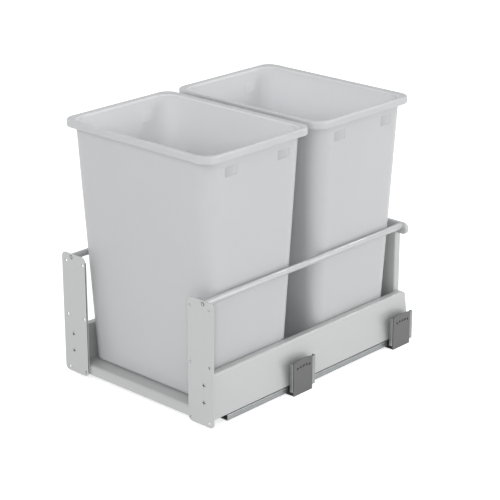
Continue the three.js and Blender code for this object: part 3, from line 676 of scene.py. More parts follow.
def perimeter(stations_x, stations_y, steps=18):
    """One turn round a rounded rectangle, counter-clockwise from the start of the right wall, as four
    arrays a, b, c, s: a point is x = a (half x - radius) + c radius, y = b (half y - radius) + s radius.
    stations_x are the places from -1 to 1 along the walls that face X, stations_y along the others."""
    quarter = np.linspace(0, np.pi / 2, steps + 1)[1:-1]
    parts = []
    for k in range(4):
        cx, sy = np.round(np.cos(k * np.pi / 2)), np.round(np.sin(k * np.pi / 2))
        run = stations_x if k % 2 == 0 else stations_y
        flat = np.ones(len(run))
        a = cx * flat if k % 2 == 0 else -sy * run
        b = sy * flat if k % 2 else cx * run
        parts.append(np.stack([a, b, cx * flat, sy * flat]))
        angle = k * np.pi / 2 + quarter
        bend = np.ones(len(angle))
        parts.append(np.stack([(cx - sy) * bend, (cx + sy) * bend, np.cos(angle), np.sin(angle)]))
    ring = np.concatenate(parts, axis=1)
    return np.concatenate([ring, ring[:, :1]], axis=1)


POCKET_MARGIN = 3 * MM  # the finer part of the grid runs this far past a pocket


def bin_rows(low, high, look):
    """The levels of a bin's closed skin: for each row the distance of the wall in from the rim's outer
    face, the height, and the corner radius. The rows run out under the foot, up the outer wall, down and
    round the rim's skirt, over the crest, down the flare and the inner wall, and in over the floor. With
    them come the heights of the lower and the upper edge of the finger pockets."""
    tall = high[2] - low[2]
    overhang, drop, roll, flare, skirt = sizes(look, "overhang", "drop", "roll", "flare", "skirt")
    web, wall, foot, foot_width, rise = sizes(look, "web", "wall", "foot", "foot_width", "rise")
    rim_corner, top_corner, bottom_corner = sizes(look, "rim_corner", "top_corner", "bottom_corner")
    pocket_drop, pocket_height = sizes(look, "pocket_drop", "pocket_height")
    least_corner, row_height = 0.5 * MM, 0.75 * MM
    flat_under, flat_floor, shoulder = 4 * MM, 6 * MM, 4 * MM

    def level(z, outset):
        """Rows on the tapered wall, moved outwards by outset."""
        z, outset = np.broadcast_arrays(np.atleast_1d(z).astype(float), np.asarray(outset, float))
        inset = overhang + look.taper * (tall - z) - outset
        corner = np.maximum(bottom_corner + (top_corner - bottom_corner) * z / tall + outset, least_corner)
        return np.stack([inset, z, corner], -1)

    def rim(outset, z, corner=None):
        """Rows on the rim, whose outset is measured from the wall's top."""
        outset, z = np.broadcast_arrays(np.atleast_1d(outset).astype(float), np.asarray(z, float))
        corner = rim_corner - overhang + outset if corner is None else corner
        return np.stack([overhang - outset, z, np.broadcast_to(corner, z.shape)], -1)

    pocket_top = tall - pocket_drop
    pocket_low = pocket_top - pocket_height
    wall_top, inner_top, inner_low = tall - flare - web, tall - flare - shoulder, rise + wall + foot
    up = np.concatenate([
        ramp(foot, pocket_low - POCKET_MARGIN, 9),
        np.arange(pocket_low - POCKET_MARGIN, pocket_top + POCKET_MARGIN, row_height),
        ramp(pocket_top + POCKET_MARGIN, wall_top, 4),
    ])
    down = np.concatenate([up, np.linspace(inner_top, inner_low, 24)])
    down = np.unique(down[(down <= inner_top) & (down >= inner_low)])[::-1]
    arc, bead = np.linspace(0, np.pi / 2, 9), np.linspace(0, np.pi / 2, 11)
    under, over = np.linspace(0, np.pi, 9)[1:-1], np.linspace(0, 1, 11)[1:]
    lip = 0.5 * skirt
    rows = np.concatenate([
        level(rise, -foot_width - rise - flat_under),
        level(rise, -foot_width - rise),
        level(0, -foot_width),
        level(foot * (1 - np.sin(arc[::-1])), -foot * (1 - np.cos(arc[::-1]))),
        level(up[1:], 0),
        level(wall_top, 0),
        rim([overhang - skirt], tall - roll),
        rim([overhang - skirt], tall - drop + lip),
        rim(overhang - lip - lip * np.cos(under), tall - drop + lip - lip * np.sin(under)),
        rim([overhang], tall - drop + lip),
        rim(overhang - roll * (1 - np.cos(bead)), tall - roll * (1 - np.sin(bead))),
        rim(
            overhang - roll - (overhang - roll + wall) * over, tall - flare * over**2,
            rim_corner - roll + (top_corner - wall - rim_corner + roll) * over,
        ),
        level(down, -wall),
        level(rise + wall + foot * (1 - np.sin(arc)), -wall - foot * (1 - np.cos(arc)))[1:],
        level(rise + wall, -wall - foot - flat_floor),
    ])
    return rows, pocket_low, pocket_top


def outside_rectangle(across, up, half_width, half_height, corner):
    """How far points are outside a rectangle with rounded corners, and below 0 inside it: their distance
    from the rectangle that is smaller by the corner radius all round, less that radius."""
    off = np.stack(np.broadcast_arrays(np.abs(across) - half_width, np.abs(up) - half_height)) + corner
    return np.hypot(*np.maximum(off, 0)) + np.minimum(off.max(0), 0) - corner


def bin_shell(low, high, look):
    """The grids of a bin, the skin over its rows and a fan that closes each end of it, and for each grid the
    painted light and shade of its points: 0 outside, rising to 1 past the crest of the rim, where the inside
    is painted lighter, and less on a pocket's floor, a painted shadow that is deeper towards the pocket's
    front end."""
    rows, pocket_low, pocket_top = bin_rows(low, high, look)
    half, middle, tall = (high - low)[:2] / 2, (high + low)[:2] / 2, high[2] - low[2]
    reach, length, depth, bow = sizes(look, "pocket_reach", "pocket_length", "pocket_depth", "bow")
    column_width, corner_bend, edge_width = 0.9 * MM, 3 * MM, 1.8 * MM
    # tone_rows: rows past the crest over which the inside's painted light comes in; shade_lost_to_rear:
    # share of a pocket's painted shadow lost towards its rear
    short_wall_bow, tone_rows, shade_lost_to_rear = 1.6, 6, 0.85

    straight = half[1] - (look.overhang + look.taper * look.pocket_drop + look.top_corner) * MM
    near = np.arange(-length / 2 - POCKET_MARGIN, length / 2 + POCKET_MARGIN, column_width)
    between = np.linspace(-40, 40, 9) * MM
    wanted = np.concatenate([[-straight], -reach + near, between, reach + near, [straight]])
    stations = np.clip(np.unique(np.round(wanted / straight, 6)), -1, 1)
    a, b, c, s = perimeter(np.unique(np.concatenate([[-1], stations, [1]])), np.linspace(-1, 1, 15))
    inset, z, corner = rows.T[:, :, None]
    hx, hy = half[0] - inset, half[1] - inset
    x, y = a * (hx - corner) + c * corner, b * (hy - corner) + s * corner

    flat_x, flat_y = np.where(np.abs(c) == 1, c, 0.0), np.where(np.abs(s) == 1, s, 0.0)
    rising = np.sin(np.pi * np.clip(z / tall, 0, 1))
    x = x - flat_x * bow * (1 - b * b) * rising
    y = y - flat_y * bow * short_wall_bow * (1 - a * a) * rising

    crest = np.argmax(z[:, 0])
    row = np.arange(len(z))[:, None]
    outer = row < crest
    up = z - (pocket_low + pocket_top) / 2
    off = outside_rectangle(np.abs(y) - reach, up, length / 2, (pocket_top - pocket_low) / 2, corner_bend)
    pressed = np.abs(flat_x) * soft_step(0.5 - off / edge_width)
    x = x - flat_x * np.where(outer, 1.0, look.pocket_back) * depth * pressed
    points = np.stack([x + middle[0], y + middle[1], np.broadcast_to(z, x.shape) + low[2]], -1)

    # painted shadow on a pocket's floor, deepest at its front end, and painted light on the inside past the
    # crest of the rim
    along = np.clip((y - np.sign(y) * reach) / length + 0.5, 0, 1)
    shade = look.pocket_shade * pressed * outer * (1 - shade_lost_to_rear * along)
    tone = soft_step((row - crest - tone_rows) / tone_rows) - shade
    grids, painted_light_and_shade = [points], [tone]
    share = np.linspace(0, 1, 5)[:, None, None]
    for k in (0, -1):
        hub = np.array([*middle, points[k, 0, 2]])
        grids.append(hub + (points[k] - hub) * share)
        painted_light_and_shade.append(np.full(grids[-1].shape[:2], tone[k, 0]))
    return grids, painted_light_and_shade


class PULLOUT_OT_bins(bpy.types.Operator):
    """Two tapered bins with a rolled rim and pressed finger pockets."""

    bl_idname = "pullout.bins"
    bl_label = "Bins"

    def execute(self, context):
        look = context.scene.bin_look
        apart = np.array([0.0, look.apart * MM, 0.0])
        for source, near, far in (("bin_front", 0, 1), ("bin_rear", 1, 0)):
            low, high = extent(source)
            mesh = closed_mesh(source + "_shell", *bin_shell(low + near * apart, high - far * apart, look))
            add_piece(source + "_shell", mesh, [source], smooth=50.0)
        return {"FINISHED"}


# ---------------------------------------------------------------- frame


def side_patches(look):
    """Folded side: inner wall, flat top, ridge, an outer wall that leans out, and a hem. Towards the rear
    end the upper corner is pressed round: no point stands higher than the arc allows."""
    low, high = extent("drawer_side_right")
    runner_top = extent("cabinet_runner_right")[1][2]
    sheet, top, hem, hem_gap, radius = sizes(look, "sheet", "top_width", "hem", "hem_gap", "end_radius")
    hem_z = runner_top + hem_gap
    corners = [
        (low[0], low[2]), (low[0], high[2]), (low[0] + top, high[2]), (high[0], hem_z),
        (high[0] - hem, hem_z),
    ]
    edge_bend, hem_bend = 0.8, 0.4
    face, back = folded(corners, sheet, np.array([edge_bend, look.ridge, hem_bend]) * MM, steps=8)
    ends = radius * (1 - np.cos(np.linspace(0, np.pi / 2, 12)))
    stations = np.concatenate([ramp(low[1], high[1] - radius, 40), high[1] - ends[::-1]])
    sunk = radius - np.sqrt(np.maximum(radius**2 - np.maximum(stations - (high[1] - radius), 0) ** 2, 0))

    def pressed(section, station):
        """The section at its station, with no point above the roof there."""
        points = along_y(section, station)
        roof = high[2] - sunk[:, None] - (sheet if section is back else 0.0)
        return np.concatenate([points[..., :2], np.minimum(points[..., 2], roof)[..., None]], -1)

    return carried(face, back, stations, pressed)


class PULLOUT_OT_drawer_sides(bpy.types.Operator):
    """The two folded steel sides."""

    bl_idname = "pullout.drawer_sides"
    bl_label = "Drawer sides"

    def execute(self, context):
        look = context.scene.frame_look
        for name, side in SIDES:
            source = "drawer_side_" + name
            mesh = closed_mesh(source, mirror_patches(side_patches(look), side))
            add_piece(source + "_folded", mesh, [source], edge=SHEET_EDGE)
        return {"FINISHED"}


def tray_mesh(look):
    """Folded tray carried along X, with a turned-down flange joined on at each side."""
    low, high = extent("base_tray")
    sheet, nose, hem = sizes(look, "sheet", "nose", "tray_hem")
    flange_low, flange_front, hem_bend, rear_bend = 13 * MM, 8 * MM, 0.8 * MM, 1.6 * MM
    corners = [
        (low[1] + hem, low[2]), (low[1], low[2]), (low[1], high[2]), (high[1], high[2]),
        (high[1], flange_low),
    ]
    face, back = folded(corners, sheet, np.array([hem_bend, nose - sheet, rear_bend]), steps=10)
    body = closed_mesh("tray", carried(face, back, np.linspace(low[0], high[0], 25), along_x))
    inner, outer = (
        np.array([(x, high[2] - sheet / 2), (x, flange_low)]) for x in (high[0] - sheet, high[0])
    )
    stations = np.linspace(low[1] + flange_front, high[1] - 2 * sheet, 9)
    grids = carried(inner, outer, stations, along_y)
    flanges = [closed_mesh("flange", mirror_patches(grids, side)) for side in (1, -1)]
    return combine(body, flanges, "UNION")


def inward_normals(outline):
    """The points of a closed outline without the repeated last one, the unit normal of each towards the
    inside, and the middle of them all."""
    line = np.asarray(outline)[:-1]
    along = np.roll(line, -1, axis=0) - np.roll(line, 1, axis=0)
    along /= np.linalg.norm(along, axis=1, keepdims=True)
    inward = np.stack([-along[:, 1], along[:, 0]], 1)
    hub = line.mean(axis=0)
    inward *= np.sign(((hub - line) * inward).sum(1))[:, None]
    return line, inward, hub


def fanned(line, inward, hub, inset, depth):
    """Rows of an outline, each moved in by its inset and laid at its depth, with the first and the last
    row closed by a fan from the middle."""
    flat = line + inset[:, None, None] * inward
    points = np.concatenate([flat, np.broadcast_to(depth[:, None, None], (*flat.shape[:2], 1))], -1)
    points = np.concatenate([points, points[:, :1]], axis=1)
    hubs = [np.broadcast_to([*hub, points[k, 0, 2]], points[k].shape) for k in (0, -1)]
    return [points, np.stack([hubs[0], points[0]]), np.stack([hubs[1], points[-1]])]


def plate_patches(outline, thickness, ease=0.35 * MM):
    """A flat plate over a closed outline, from depth 0 to its thickness, with both rims eased by a quarter
    round: a point of the outline moves in along its own normal by the inset of its row."""
    line, inward, hub = inward_normals(outline)
    turn = np.linspace(0, np.pi / 2, 5)
    falling, rising, flat = ease * (1 - np.sin(turn)), ease * (1 - np.cos(turn)), 1.8 * ease
    inset = np.concatenate([[flat], falling, rising, [flat]])
    depth = np.concatenate([[0], rising, thickness - falling, [thickness]])
    return fanned(line, inward, hub, inset, depth)


def facing_x(grids, start):
    """Grids drawn as (y, z, depth), with the depth laid along X from start."""
    return [np.stack([start + g[..., 2], g[..., 0], g[..., 1]], -1) for g in grids]


def facing_y(grids, start):
    """Grids drawn as (x, z, depth), with the depth laid along Y from start."""
    return [np.stack([g[..., 0], start + g[..., 2], g[..., 1]], -1) for g in grids]


def laid(label, grids, facing, start, side=1.0):
    """A closed mesh of grids drawn flat and laid along an axis from start, on the right or the left."""
    return closed_mesh(label, mirror_patches(facing(grids, start), side))


def axis_of(source):
    """Where the middle line along Y of a solid lies, as x and z."""
    low, high = extent(source)
    return (low[0] + high[0]) / 2, (low[2] + high[2]) / 2


def bore_patches(at, profile, segments=32):
    """A closed cutter round a point of a plate, from pairs of (radius, depth)."""
    profile = np.asarray(profile, float)
    angle = np.linspace(0, 2 * np.pi, segments + 1)
    across, up = profile[:, :1] * np.cos(angle), profile[:, :1] * np.sin(angle)
    return [np.stack([at[0] + across, at[1] + up, np.broadcast_to(profile[:, 1:], across.shape)], -1)]


def drilled(radius, thickness, sink):
    """The profile of a through hole whose rims are broken by a small countersink on each face."""
    over = 1 * MM
    wide = radius + sink + over
    return [
        (0, -over), (wide, -over), (radius, sink), (radius, thickness - 0.4 * sink),
        (radius + 0.4 * sink + over, thickness + over), (0, thickness + over),
    ]


# radius and depth of the countersink for a bracket screw
COUNTERSINK = np.array([(0, -1), (5.7, -1), (4.85, 0), (2.75, 2.1), (2.7, 3), (0, 3)]) * MM


def door_plate_mesh(name, side, look):
    """A plate with rounded corners, its lip folded back along the inner edge, six door-screw holes, and
    three countersinks round the screws that hold it."""
    low, high = extent("door_bracket_" + name)
    low, high = (low, high) if side > 0 else (low * [-1, 1, 1], high * [-1, 1, 1])
    inner, outer = sorted((low[0], high[0]))
    corner, thickness, sheet = sizes(look, "plate_corner", "plate", "sheet")
    bottom, top, front, rear = low[2], high[2], low[1], high[1]
    middle = (inner + outer) / 2
    line = rounded(
        [(middle, bottom), (outer, bottom), (outer, top), (inner, top), (inner, bottom), (middle, bottom)],
        [corner] * 4, steps=14,
    )
    plate = laid("plate", plate_patches(line, thickness), facing_y, front, side)

    lip_low, lip_top = bottom + corner, top - corner
    lip_line = rounded(
        [(front, lip_low + corner), (front, lip_low), (rear, lip_low), (rear, lip_top), (front, lip_top),
         (front, lip_low + corner)],
        np.array([0.8, 1.6, 1.6, 0.8]) * MM, steps=5,
    )
    lip_line[:, 0] = np.maximum(lip_line[:, 0], front + 0.5 * MM)
    lip = laid("lip", plate_patches(lip_line, sheet, 0.3 * MM), facing_x, inner, side)

    hole_rows = (bottom + 7.5 * MM, (bottom + top - 8 * MM) / 2, top - 15.5 * MM)
    hole_columns = (inner + 6.2 * MM, outer - 10.6 * MM)
    hole = drilled(2.6 * MM, thickness, 0.35 * MM)
    cutters = [bore_patches((x, z), hole) for z in hole_rows for x in hole_columns]
    for kind in ("bracket_screw_lower_", "bracket_screw_upper_", "rail_screw_front_"):
        x, z = axis_of(kind + name)
        cutters.append(bore_patches((x * side, z), COUNTERSINK))
    tools = [laid("bore", cutter, facing_y, front, side) for cutter in cutters]
    return combine(combine(plate, [lip], "UNION"), tools, "DIFFERENCE")


def cap_patches(outline, depth, sheet, radius):
    """A pressed cap, open at the back: a flat face, a quarter round of the given radius from the face to
    the wall, and the same shape one sheet further in. Each row moves the outline in along its normal."""
    line, inward, hub = inward_normals(outline)
    turn = np.linspace(0, np.pi / 2, 9)
    falling, rising = 1 - np.sin(turn), 1 - np.cos(turn)
    inner = radius - sheet
    inset = np.concatenate([radius * falling, [0, sheet], sheet + inner * falling[::-1]])
    place = np.concatenate([radius * rising, [depth, depth], sheet + inner * rising[::-1]])
    return fanned(line, inward, hub, inset, place)


SCREW_BORE = 2.7 * MM  # radius of the bore for the screw at either end of a rail


def panel_mesh(look):
    """Rear panel: a sheet folded back at both sides, with a pressed head whose ends stand out past the
    sides as round ears, and a bore in each ear for the rail's screw."""
    low, high = extent("rear_panel")
    half = extent("base_tray")[1][0]
    sheet, radius, tall, depth = sizes(look, "sheet", "head_radius", "head_height", "head_depth")
    end_flat, side_bend = 1 * MM, 1.6 * MM
    corner = (tall - end_flat) / 2
    section = np.array([(half, high[1]), (half, low[1]), (-half, low[1]), (-half, high[1])])
    face, back = folded(section, sheet, [side_bend] * 2, steps=6)
    body = closed_mesh("panel", carried(face, back, np.linspace(low[2], high[2] - tall / 2, 17), along_z))
    top, bottom = high[2], high[2] - tall
    ends = [(0, top), (high[0], top), (high[0], bottom), (low[0], bottom), (low[0], top), (0, top)]
    outline = rounded(ends, [corner] * 4, steps=14)
    head = laid("head", cap_patches(outline, depth, sheet, radius), facing_y, low[1])
    hole = drilled(SCREW_BORE, sheet, 0.2 * MM)
    bores = [
        laid("bore", bore_patches(axis_of("gallery_rail_rear_" + name), hole), facing_y, low[1])
        for name, _ in SIDES
    ]
    return combine(combine(body, [head], "UNION"), bores, "DIFFERENCE")


class PULLOUT_OT_tray_and_panel(bpy.types.Operator):
    """The folded base tray and the rear panel with its rolled head."""

    bl_idname = "pullout.tray_and_panel"
    bl_label = "Base tray and rear panel"

    def execute(self, context):
        look = context.scene.frame_look
        add_piece("base_tray_folded", tray_mesh(look), ["base_tray"], edge=SHEET_EDGE)
        add_piece("rear_panel_pressed", panel_mesh(look), ["rear_panel"], smooth=30.0)
        return {"FINISHED"}


class PULLOUT_OT_door_plates(bpy.types.Operator):
    """The two flat plates that the door is screwed to."""

    bl_idname = "pullout.door_plates"
    bl_label = "Door plates"

    def execute(self, context):
        for name, side in SIDES:
            source = "door_bracket_" + name
            mesh = door_plate_mesh(name, side, context.scene.frame_look)
            add_piece(source + "_drilled", mesh, [source], smooth=30.0)
        return {"FINISHED"}


def rod_profile(length, radius, near, far, neck):
    """A rod with eased ends, a blind bore (radius, reach) at each end and a narrower neck at the far end."""
    outline = [
        (0, near[1]), (near[0], near[1]), (near[0], 0), (radius, 0), (radius, length - neck),
        (radius - neck, length - neck), (radius - neck, length), (far[0], length), (far[0], length - far[1]),
        (0, length - far[1]),
    ]
    ease = 0.4 * MM
    return rounded(outline, np.array([0.4, 0.5, 1, 0.8, 0.2, 0.2, 0.5, 0.4]) * ease, steps=5)


class PULLOUT_OT_gallery_rails(bpy.types.Operator):
    """The round rails over the sides, each in two rods that meet in a fine joint."""

    bl_idname = "pullout.gallery_rails"
    bl_label = "Gallery rails"

    def execute(self, context):
        for_screw, for_spigot = (SCREW_BORE, 16 * MM), (3.8 * MM, 20.3 * MM)
        bores_and_neck = {
            "front": (for_screw, for_spigot, 0.3 * MM),
            "rear": (for_spigot, for_screw, 0.9 * MM),
        }
        for name, _ in SIDES:
            for place, ends in bores_and_neck.items():
                source = f"gallery_rail_{place}_{name}"
                low, high = extent(source)
                x, z = axis_of(source)
                profile = rod_profile(high[1] - low[1], (high[2] - low[2]) / 2, *ends)
                grids = turned((x, low[1], z), profile)
                add_piece(source + "_rod", closed_mesh(source, grids), [source])
        return {"FINISHED"}


# radius, dome, depth of the edge and of the underside of a screw head
FLAT_HEAD = {"head": 4.5 * MM, "dome": 0.0, "rim": 0.15 * MM, "under": 2 * MM}
ROUND_HEAD = {"head": 3.5 * MM, "dome": 0.8 * MM, "rim": 2.6 * MM, "under": 2.6 * MM}


def screw_patches(low, high, head, dome, rim, under, facing, ringed=False):
    """A screw along Y and the marks of near-black painted shade in its recess. The head has a cross recess,
    whose arms sink where the smaller of the two sideways distances is under half an arm's width, or a ring
    groove; the shank is plain with a pointed end. rim and under are the depths of the head's edge and of its
    underside."""
    centre, length = (low + high) / 2, high[1] - low[1]
    shank, point, deep = 2.4 * MM, 1.5 * MM, 1.6 * MM
    arm, reach, hub, ring = 0.2 * head, 0.88 * head, 0.36 * head, 0.62 * head
    radii = np.concatenate([np.linspace(0, 0.9 * head, 27), head * np.array([0.95, 1.0])])
    face = np.stack([radii, dome * (radii / head) ** 2], -1)
    rest = [(head, rim), (shank, under), (shank, length - point), (0.35 * shank, length), (0, length)]
    profile = np.concatenate([face, rest])

    def recess(across, up, depth):
        """1 in the recess of the face and 0 round it."""
        off = np.hypot(across, up)
        narrow, wide = np.minimum(np.abs(across), np.abs(up)), np.maximum(np.abs(across), np.abs(up))
        arms = soft_step((arm - narrow) / (0.4 * arm)) * soft_step((reach - wide) / (0.3 * reach))
        cross = np.maximum(arms, soft_step((hub - off) / (0.1 * head)))
        groove = soft_step(1.6 - np.abs(off - ring) / (0.13 * head))
        return np.where(depth <= dome, groove if ringed else cross, 0.0)

    points = turned((centre[0], 0.0, centre[2]), profile, lambda *place: recess(*place) * deep)[0]
    across, up = points[..., 0] - centre[0], points[..., 2] - centre[2]
    # marks: where the recess takes the near-black painted shade
    marks = recess(across, up, np.broadcast_to(profile[:, 1:], across.shape))
    start = low[1] if facing < 0 else high[1]
    placed = points * np.array([1.0, -facing, 1.0]) + np.array([0.0, start, 0.0])
    return [placed], [soft_step(2 * marks - 0.3)]


class PULLOUT_OT_screws(bpy.types.Operator):
    """The screws of the door plates and the rails, with the spigots and blocks that they hold."""

    bl_idname = "pullout.screws"
    bl_label = "Screws"

    def execute(self, context):
        for name, _ in SIDES:
            for kind in ("bracket_screw_lower", "bracket_screw_upper", "rail_screw_front"):
                source = f"{kind}_{name}"
                ringed = kind.startswith("rail")
                grids = screw_patches(*extent(source), **FLAT_HEAD, facing=-1.0, ringed=ringed)
                add_piece(source + "_head", closed_mesh(source, *grids), [source])
            source = "rail_screw_rear_" + name
            grids = screw_patches(*extent(source), **ROUND_HEAD, facing=1.0)
            add_piece(source + "_head", closed_mesh(source, *grids), [source])
            edged("rail_spigot_" + name, SHEET_EDGE)
            edged("fixing_block_" + name, SHEET_EDGE)
        return {"FINISHED"}


# ---------------------------------------------------------------- runners, clips and closers


RUNNER_PIECES = (
    "cabinet_runner", "middle_runner", "drawer_runner", "lower_roller_cage", "upper_roller_cage",
)
CLOSER_PIECES = ("damper_housing", "damper_cylinder", "damped_catch", "catch_pin")


class PULLOUT_OT_runners(bpy.types.Operator):
    """Three runner members a side, with their roller cages."""

    bl_idname = "pullout.runners"
    bl_label = "Runners"

    def execute(self, context):
        width = context.scene.fitting_look.edge * MM
        for name, _ in SIDES:
            for kind in RUNNER_PIECES:
                edged(f"{kind}_{name}", width)
        return {"FINISHED"}


def clip_plate_mesh(place, name, side):
    """A dark plate whose top edge is a shallow crown, z = shoulder + crown (1 - t^2) over its length, with
    five small holes, their rims broken, along the same kind of curve. The bores and the plate's front edge
    are marked for near-black painted shade."""
    low, high = extent(f"clip_plate_{place}_{name}")
    length, thickness = high[1] - low[1], high[0] - low[0]
    crown = 2.4 * MM
    shoulder, middle = high[2] - crown, (low[1] + high[1]) / 2
    t = np.linspace(1, -1, 25)
    roof = np.stack([middle + t * length / 2, shoulder + crown * (1 - t * t)], -1)
    start = rounded(
        [(middle, low[2]), (high[1], low[2]), roof[0], roof[1]], [1.2 * MM, 1.0 * MM], steps=5
    )
    end = rounded(
        [roof[-3], roof[-1], (low[1], low[2]), (middle, low[2])], [2.6 * MM, 1.2 * MM], steps=6
    )
    line = np.clip(np.concatenate([start, roof[2:-3], end]), low[1:], high[1:])
    outer = max(abs(low[0]), abs(high[0]))

    def set_in(label, grids):
        """Grids drawn as (y, z, depth), with the depth laid inwards from the plate's outer face."""
        return laid(label, [g * [1, 1, -1] for g in grids], facing_x, outer, side)

    plate = set_in("clip", plate_patches(line, thickness, 0.3 * MM))
    hole, row_middle, row_reach, row_height, row_crown = 2.0 * MM, 26.4, 15.6, 52.8, 1.6
    share = np.linspace(-1, 1, 5)
    holes = np.stack([
        low[1] + (row_middle + row_reach * share) * MM, low[2] + (row_height - row_crown * share**2) * MM,
    ], -1)
    bore = drilled(hole, thickness, 0.5 * MM)
    mesh = combine(plate, [set_in("bore", bore_patches(at, bore, 28)) for at in holes], "DIFFERENCE")

    points = np.empty(3 * len(mesh.vertices))
    mesh.vertices.foreach_get("co", points)
    points = points.reshape(-1, 3)
    # painted shade: the walls of the bores and the plate's front edge, below the face, take the near-black
    # colour
    below_face = outer - np.abs(points[:, 0]) > 0.4 * MM
    in_bore = np.hypot(*(points[:, None, 1:] - holes).T).min(axis=0) < hole + 0.3 * MM
    on_front_edge = points[:, 1] < low[1] + 0.02 * MM
    mark_painted_light_and_shade(mesh, below_face & (in_bore | on_front_edge))
    return mesh


def bracket_mesh(place, name, side, look):
    """The light bracket: a channel folded from one sheet, its web against the plate and both flanges
    towards the runner, carried upwards. The web shows past the plate's rear edge and under its top."""
    low, high = extent(f"clip_bracket_{place}_{name}")
    inner, outer = sorted(np.abs([low[0], high[0]]))
    rear, top = high[1] + look.bracket_past * MM, high[2] + look.bracket_rise * MM
    corners = [(inner, rear), (outer, rear), (outer, low[1]), (inner, low[1])]
    flange_bend = 0.7 * MM
    face, back = folded(corners, look.bracket_sheet * MM, [flange_bend] * 2, steps=5)
    grids = carried(face, back, np.linspace(low[2], top, 9), along_z)
    return closed_mesh("bracket", mirror_patches(grids, side))


def cradle_mesh(place, name, side):
    """The black cradle in its own form, with a foot that runs out under the bracket to the plate."""
    source = f"clip_cradle_{place}_{name}"
    low, high = extent(source)
    plate = np.abs(np.array(extent(f"clip_plate_{place}_{name}"))[:, 0]).min()
    bracket_low = extent(f"clip_bracket_{place}_{name}")[0][2]
    outer = np.abs([low[0], high[0]]).max()
    gap, shared = 0.3 * MM, 3 * MM
    near, far, top = outer - shared, plate - gap, bracket_low - gap
    line = rounded(
        [(outer, low[2]), (far, low[2]), (far, top), (near, top), (near, low[2]), (outer, low[2])],
        np.array([0.8, 0.8, 0.4, 0.4]) * MM, steps=4,
    )
    foot = laid("foot", plate_patches(line, high[1] - low[1]), facing_y, low[1], side)
    return combine(merged_copy(source), [foot], "UNION")


class PULLOUT_OT_wall_clips(bpy.types.Operator):
    """Four wall clips: dark plate, light bracket, black cradle and its screw."""

    bl_idname = "pullout.wall_clips"
    bl_label = "Wall clips"

    def execute(self, context):
        look = context.scene.fitting_look
        width = look.edge * MM
        for name, side in SIDES:
            for place in ("front", "rear"):
                source = f"clip_plate_{place}_{name}"
                add_piece(source + "_drilled", clip_plate_mesh(place, name, side), [source], smooth=30.0)
                cradle = f"clip_cradle_{place}_{name}"
                add_piece(cradle + "_footed", cradle_mesh(place, name, side), [cradle], edge=width)
                bracket = f"clip_bracket_{place}_{name}"
                add_piece(bracket + "_folded", bracket_mesh(place, name, side, look), [bracket], edge=width)
                edged(f"clip_screw_{place}_{name}", width)
        return {"FINISHED"}


class PULLOUT_OT_closers(bpy.types.Operator):
    """Soft-close units beside the fixed runner members, and the pins that draw them."""

    bl_idname = "pullout.closers"
    bl_label = "Soft-close units"

    def execute(self, context):
        width = context.scene.fitting_look.edge * MM
        for name, _ in SIDES:
            for kind in CLOSER_PIECES:
                edged(f"{kind}_{name}", width)
        return {"FINISHED"}


# ---------------------------------------------------------------- stage


CAMERA_TARGET = (0.021, -0.0027, 0.2162)  # the point the camera looks at
FLOOR_DROP = 0.4 * MM  # from the foot of the part down to the floor
FLOOR_PAPER = (0.86, 0.86, 0.86)
FLOOR_GLOW = 0.64  # added to the floor where it is seen directly, so that it is near white
# setting that holds its power: side of the square, place, point it is turned to
LAMPS = {
    "key": (2.4, (0.6, -3.3, 2.3), (0.0, 0.0, 0.25)),
    "side": (1.8, (3.1, 1.6, 1.0), (0.0, 0.0, 0.25)),
    "rim": (0.4, (0.5, 2.3, 2.3), (0.0, 0.0, 0.2)),
    "eye": (0.7, (2.72, -2.85, 1.68), (0.0, 0.0, 0.25)),
}


def lamp(name, power, size, place, target):
    """A square area lamp at place, turned to its target."""
    data = bpy.data.lights.new(name, "AREA")
    data.energy = power
    data.size = size
    made = bpy.data.objects.new(name, data)
    bpy.context.scene.collection.objects.link(made)
    made.location = place
    aim = np.array(target, float) - np.array(place, float)
    aim /= np.linalg.norm(aim)
    made.rotation_euler = (math.acos(-aim[2]), 0.0, math.atan2(aim[1], aim[0]) - math.pi / 2)


def seen_directly(tree):
    """1 for camera, glossy and transmission rays, 0 for the rays that light the object."""
    path = node(tree, "ShaderNodeLightPath").outputs
    first = maths(tree, "ADD", path["Is Camera Ray"], path["Is Glossy Ray"])
    return maths(tree, "ADD", first, path["Is Transmission Ray"], clamp=True)


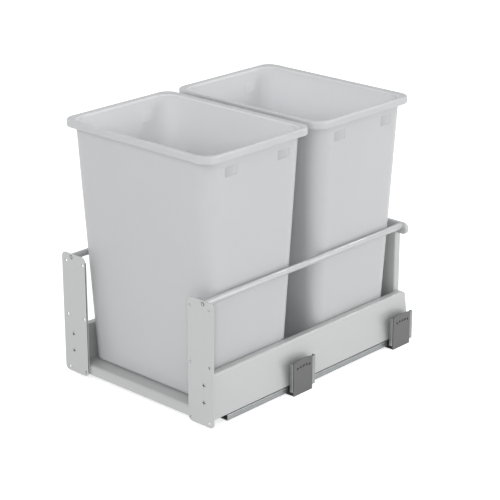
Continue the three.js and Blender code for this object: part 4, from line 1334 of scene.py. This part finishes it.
class PULLOUT_OT_stage(bpy.types.Operator):
    """White floor and sky, four soft lamps and the camera."""

    bl_idname = "pullout.stage"
    bl_label = "Stage"

    def execute(self, context):
        look, scene = context.scene.stage_look, context.scene
        world = bpy.data.worlds.new("even_sky")
        scene.world = world
        world.use_nodes = True
        tree = world.node_tree
        sky = tree.nodes["Background"]
        sky.inputs["Color"].default_value = (1.0, 1.0, 1.0, 1.0)
        tree.links.new(scaled(tree, seen_directly(tree), look.sky, 1.0), sky.inputs["Strength"])

        half = look.floor / 2
        step = np.linspace(-half, half, 5)
        grid = np.stack([*np.meshgrid(step, step), np.full((5, 5), -FLOOR_DROP)], -1)
        points, quads = skin([grid])
        mesh = bpy.data.meshes.new("floor")
        mesh.from_pydata(points, [], quads.tolist())
        ground = bpy.data.objects.new("floor", mesh)
        scene.collection.objects.link(ground)
        material, tree, shader = new_material("floor_paper", FLOOR_PAPER, 0.9, 0.0, Specular_IOR_Level=0.0)
        shader.inputs["Emission Color"].default_value = (1.0, 1.0, 1.0, 1.0)
        glow = scaled(tree, seen_directly(tree), 0.0, FLOOR_GLOW)
        tree.links.new(glow, shader.inputs["Emission Strength"])
        mesh.materials.append(material)

        for setting, (size, place, target) in LAMPS.items():
            lamp(setting + "_lamp", getattr(look, setting), size, place, target)

        data = bpy.data.cameras.new("photo_view")
        data.sensor_width = 36.0
        data.lens = look.lens
        camera = bpy.data.objects.new("photo_view", data)
        scene.collection.objects.link(camera)
        turn, rise = look.azimuth, look.elevation
        back = np.array([math.sin(turn) * math.cos(rise), -math.cos(turn) * math.cos(rise), math.sin(rise)])
        camera.location = np.array(CAMERA_TARGET) + back * look.distance
        camera.rotation_euler = (math.pi / 2 - rise, 0.0, turn)
        scene.camera = camera
        scene.view_settings.view_transform = "Standard"
        return {"FINISHED"}


OPERATORS = (
    PULLOUT_OT_bins,
    PULLOUT_OT_drawer_sides,
    PULLOUT_OT_tray_and_panel,
    PULLOUT_OT_door_plates,
    PULLOUT_OT_gallery_rails,
    PULLOUT_OT_screws,
    PULLOUT_OT_runners,
    PULLOUT_OT_wall_clips,
    PULLOUT_OT_closers,
    PULLOUT_OT_stage,
)


class PULLOUT_PT_sidebar(bpy.types.Panel):
    """Lists the pieces that can be made and their settings."""

    bl_idname = "PULLOUT_PT_sidebar"
    bl_label = "Pull-out trash cabinet"
    bl_space_type = "VIEW_3D"
    bl_region_type = "UI"
    bl_category = "Pull-out"

    def draw(self, context):
        for operator in OPERATORS:
            self.layout.operator(operator.bl_idname)
        for name, look in LOOKS.items():
            box = self.layout.box()
            box.label(text=look.__doc__)
            for setting in look.__annotations__:
                box.prop(getattr(context.scene, name), setting)


def register():
    """Makes the settings and the operators known."""
    for cls in (*LOOKS.values(), *OPERATORS, PULLOUT_PT_sidebar):
        bpy.utils.register_class(cls)
    for name, look in LOOKS.items():
        setattr(bpy.types.Scene, name, PointerProperty(type=look))


def unregister():
    """Takes them away again."""
    for name in LOOKS:
        delattr(bpy.types.Scene, name)
    for cls in reversed((*LOOKS.values(), *OPERATORS, PULLOUT_PT_sidebar)):
        bpy.utils.unregister_class(cls)


def main():
    """Makes every piece and the stage."""
    register()
    for operator in OPERATORS:
        group, name = operator.bl_idname.split(".")
        getattr(getattr(bpy.ops, group), name)()


if __name__ == "__main__":
    main()
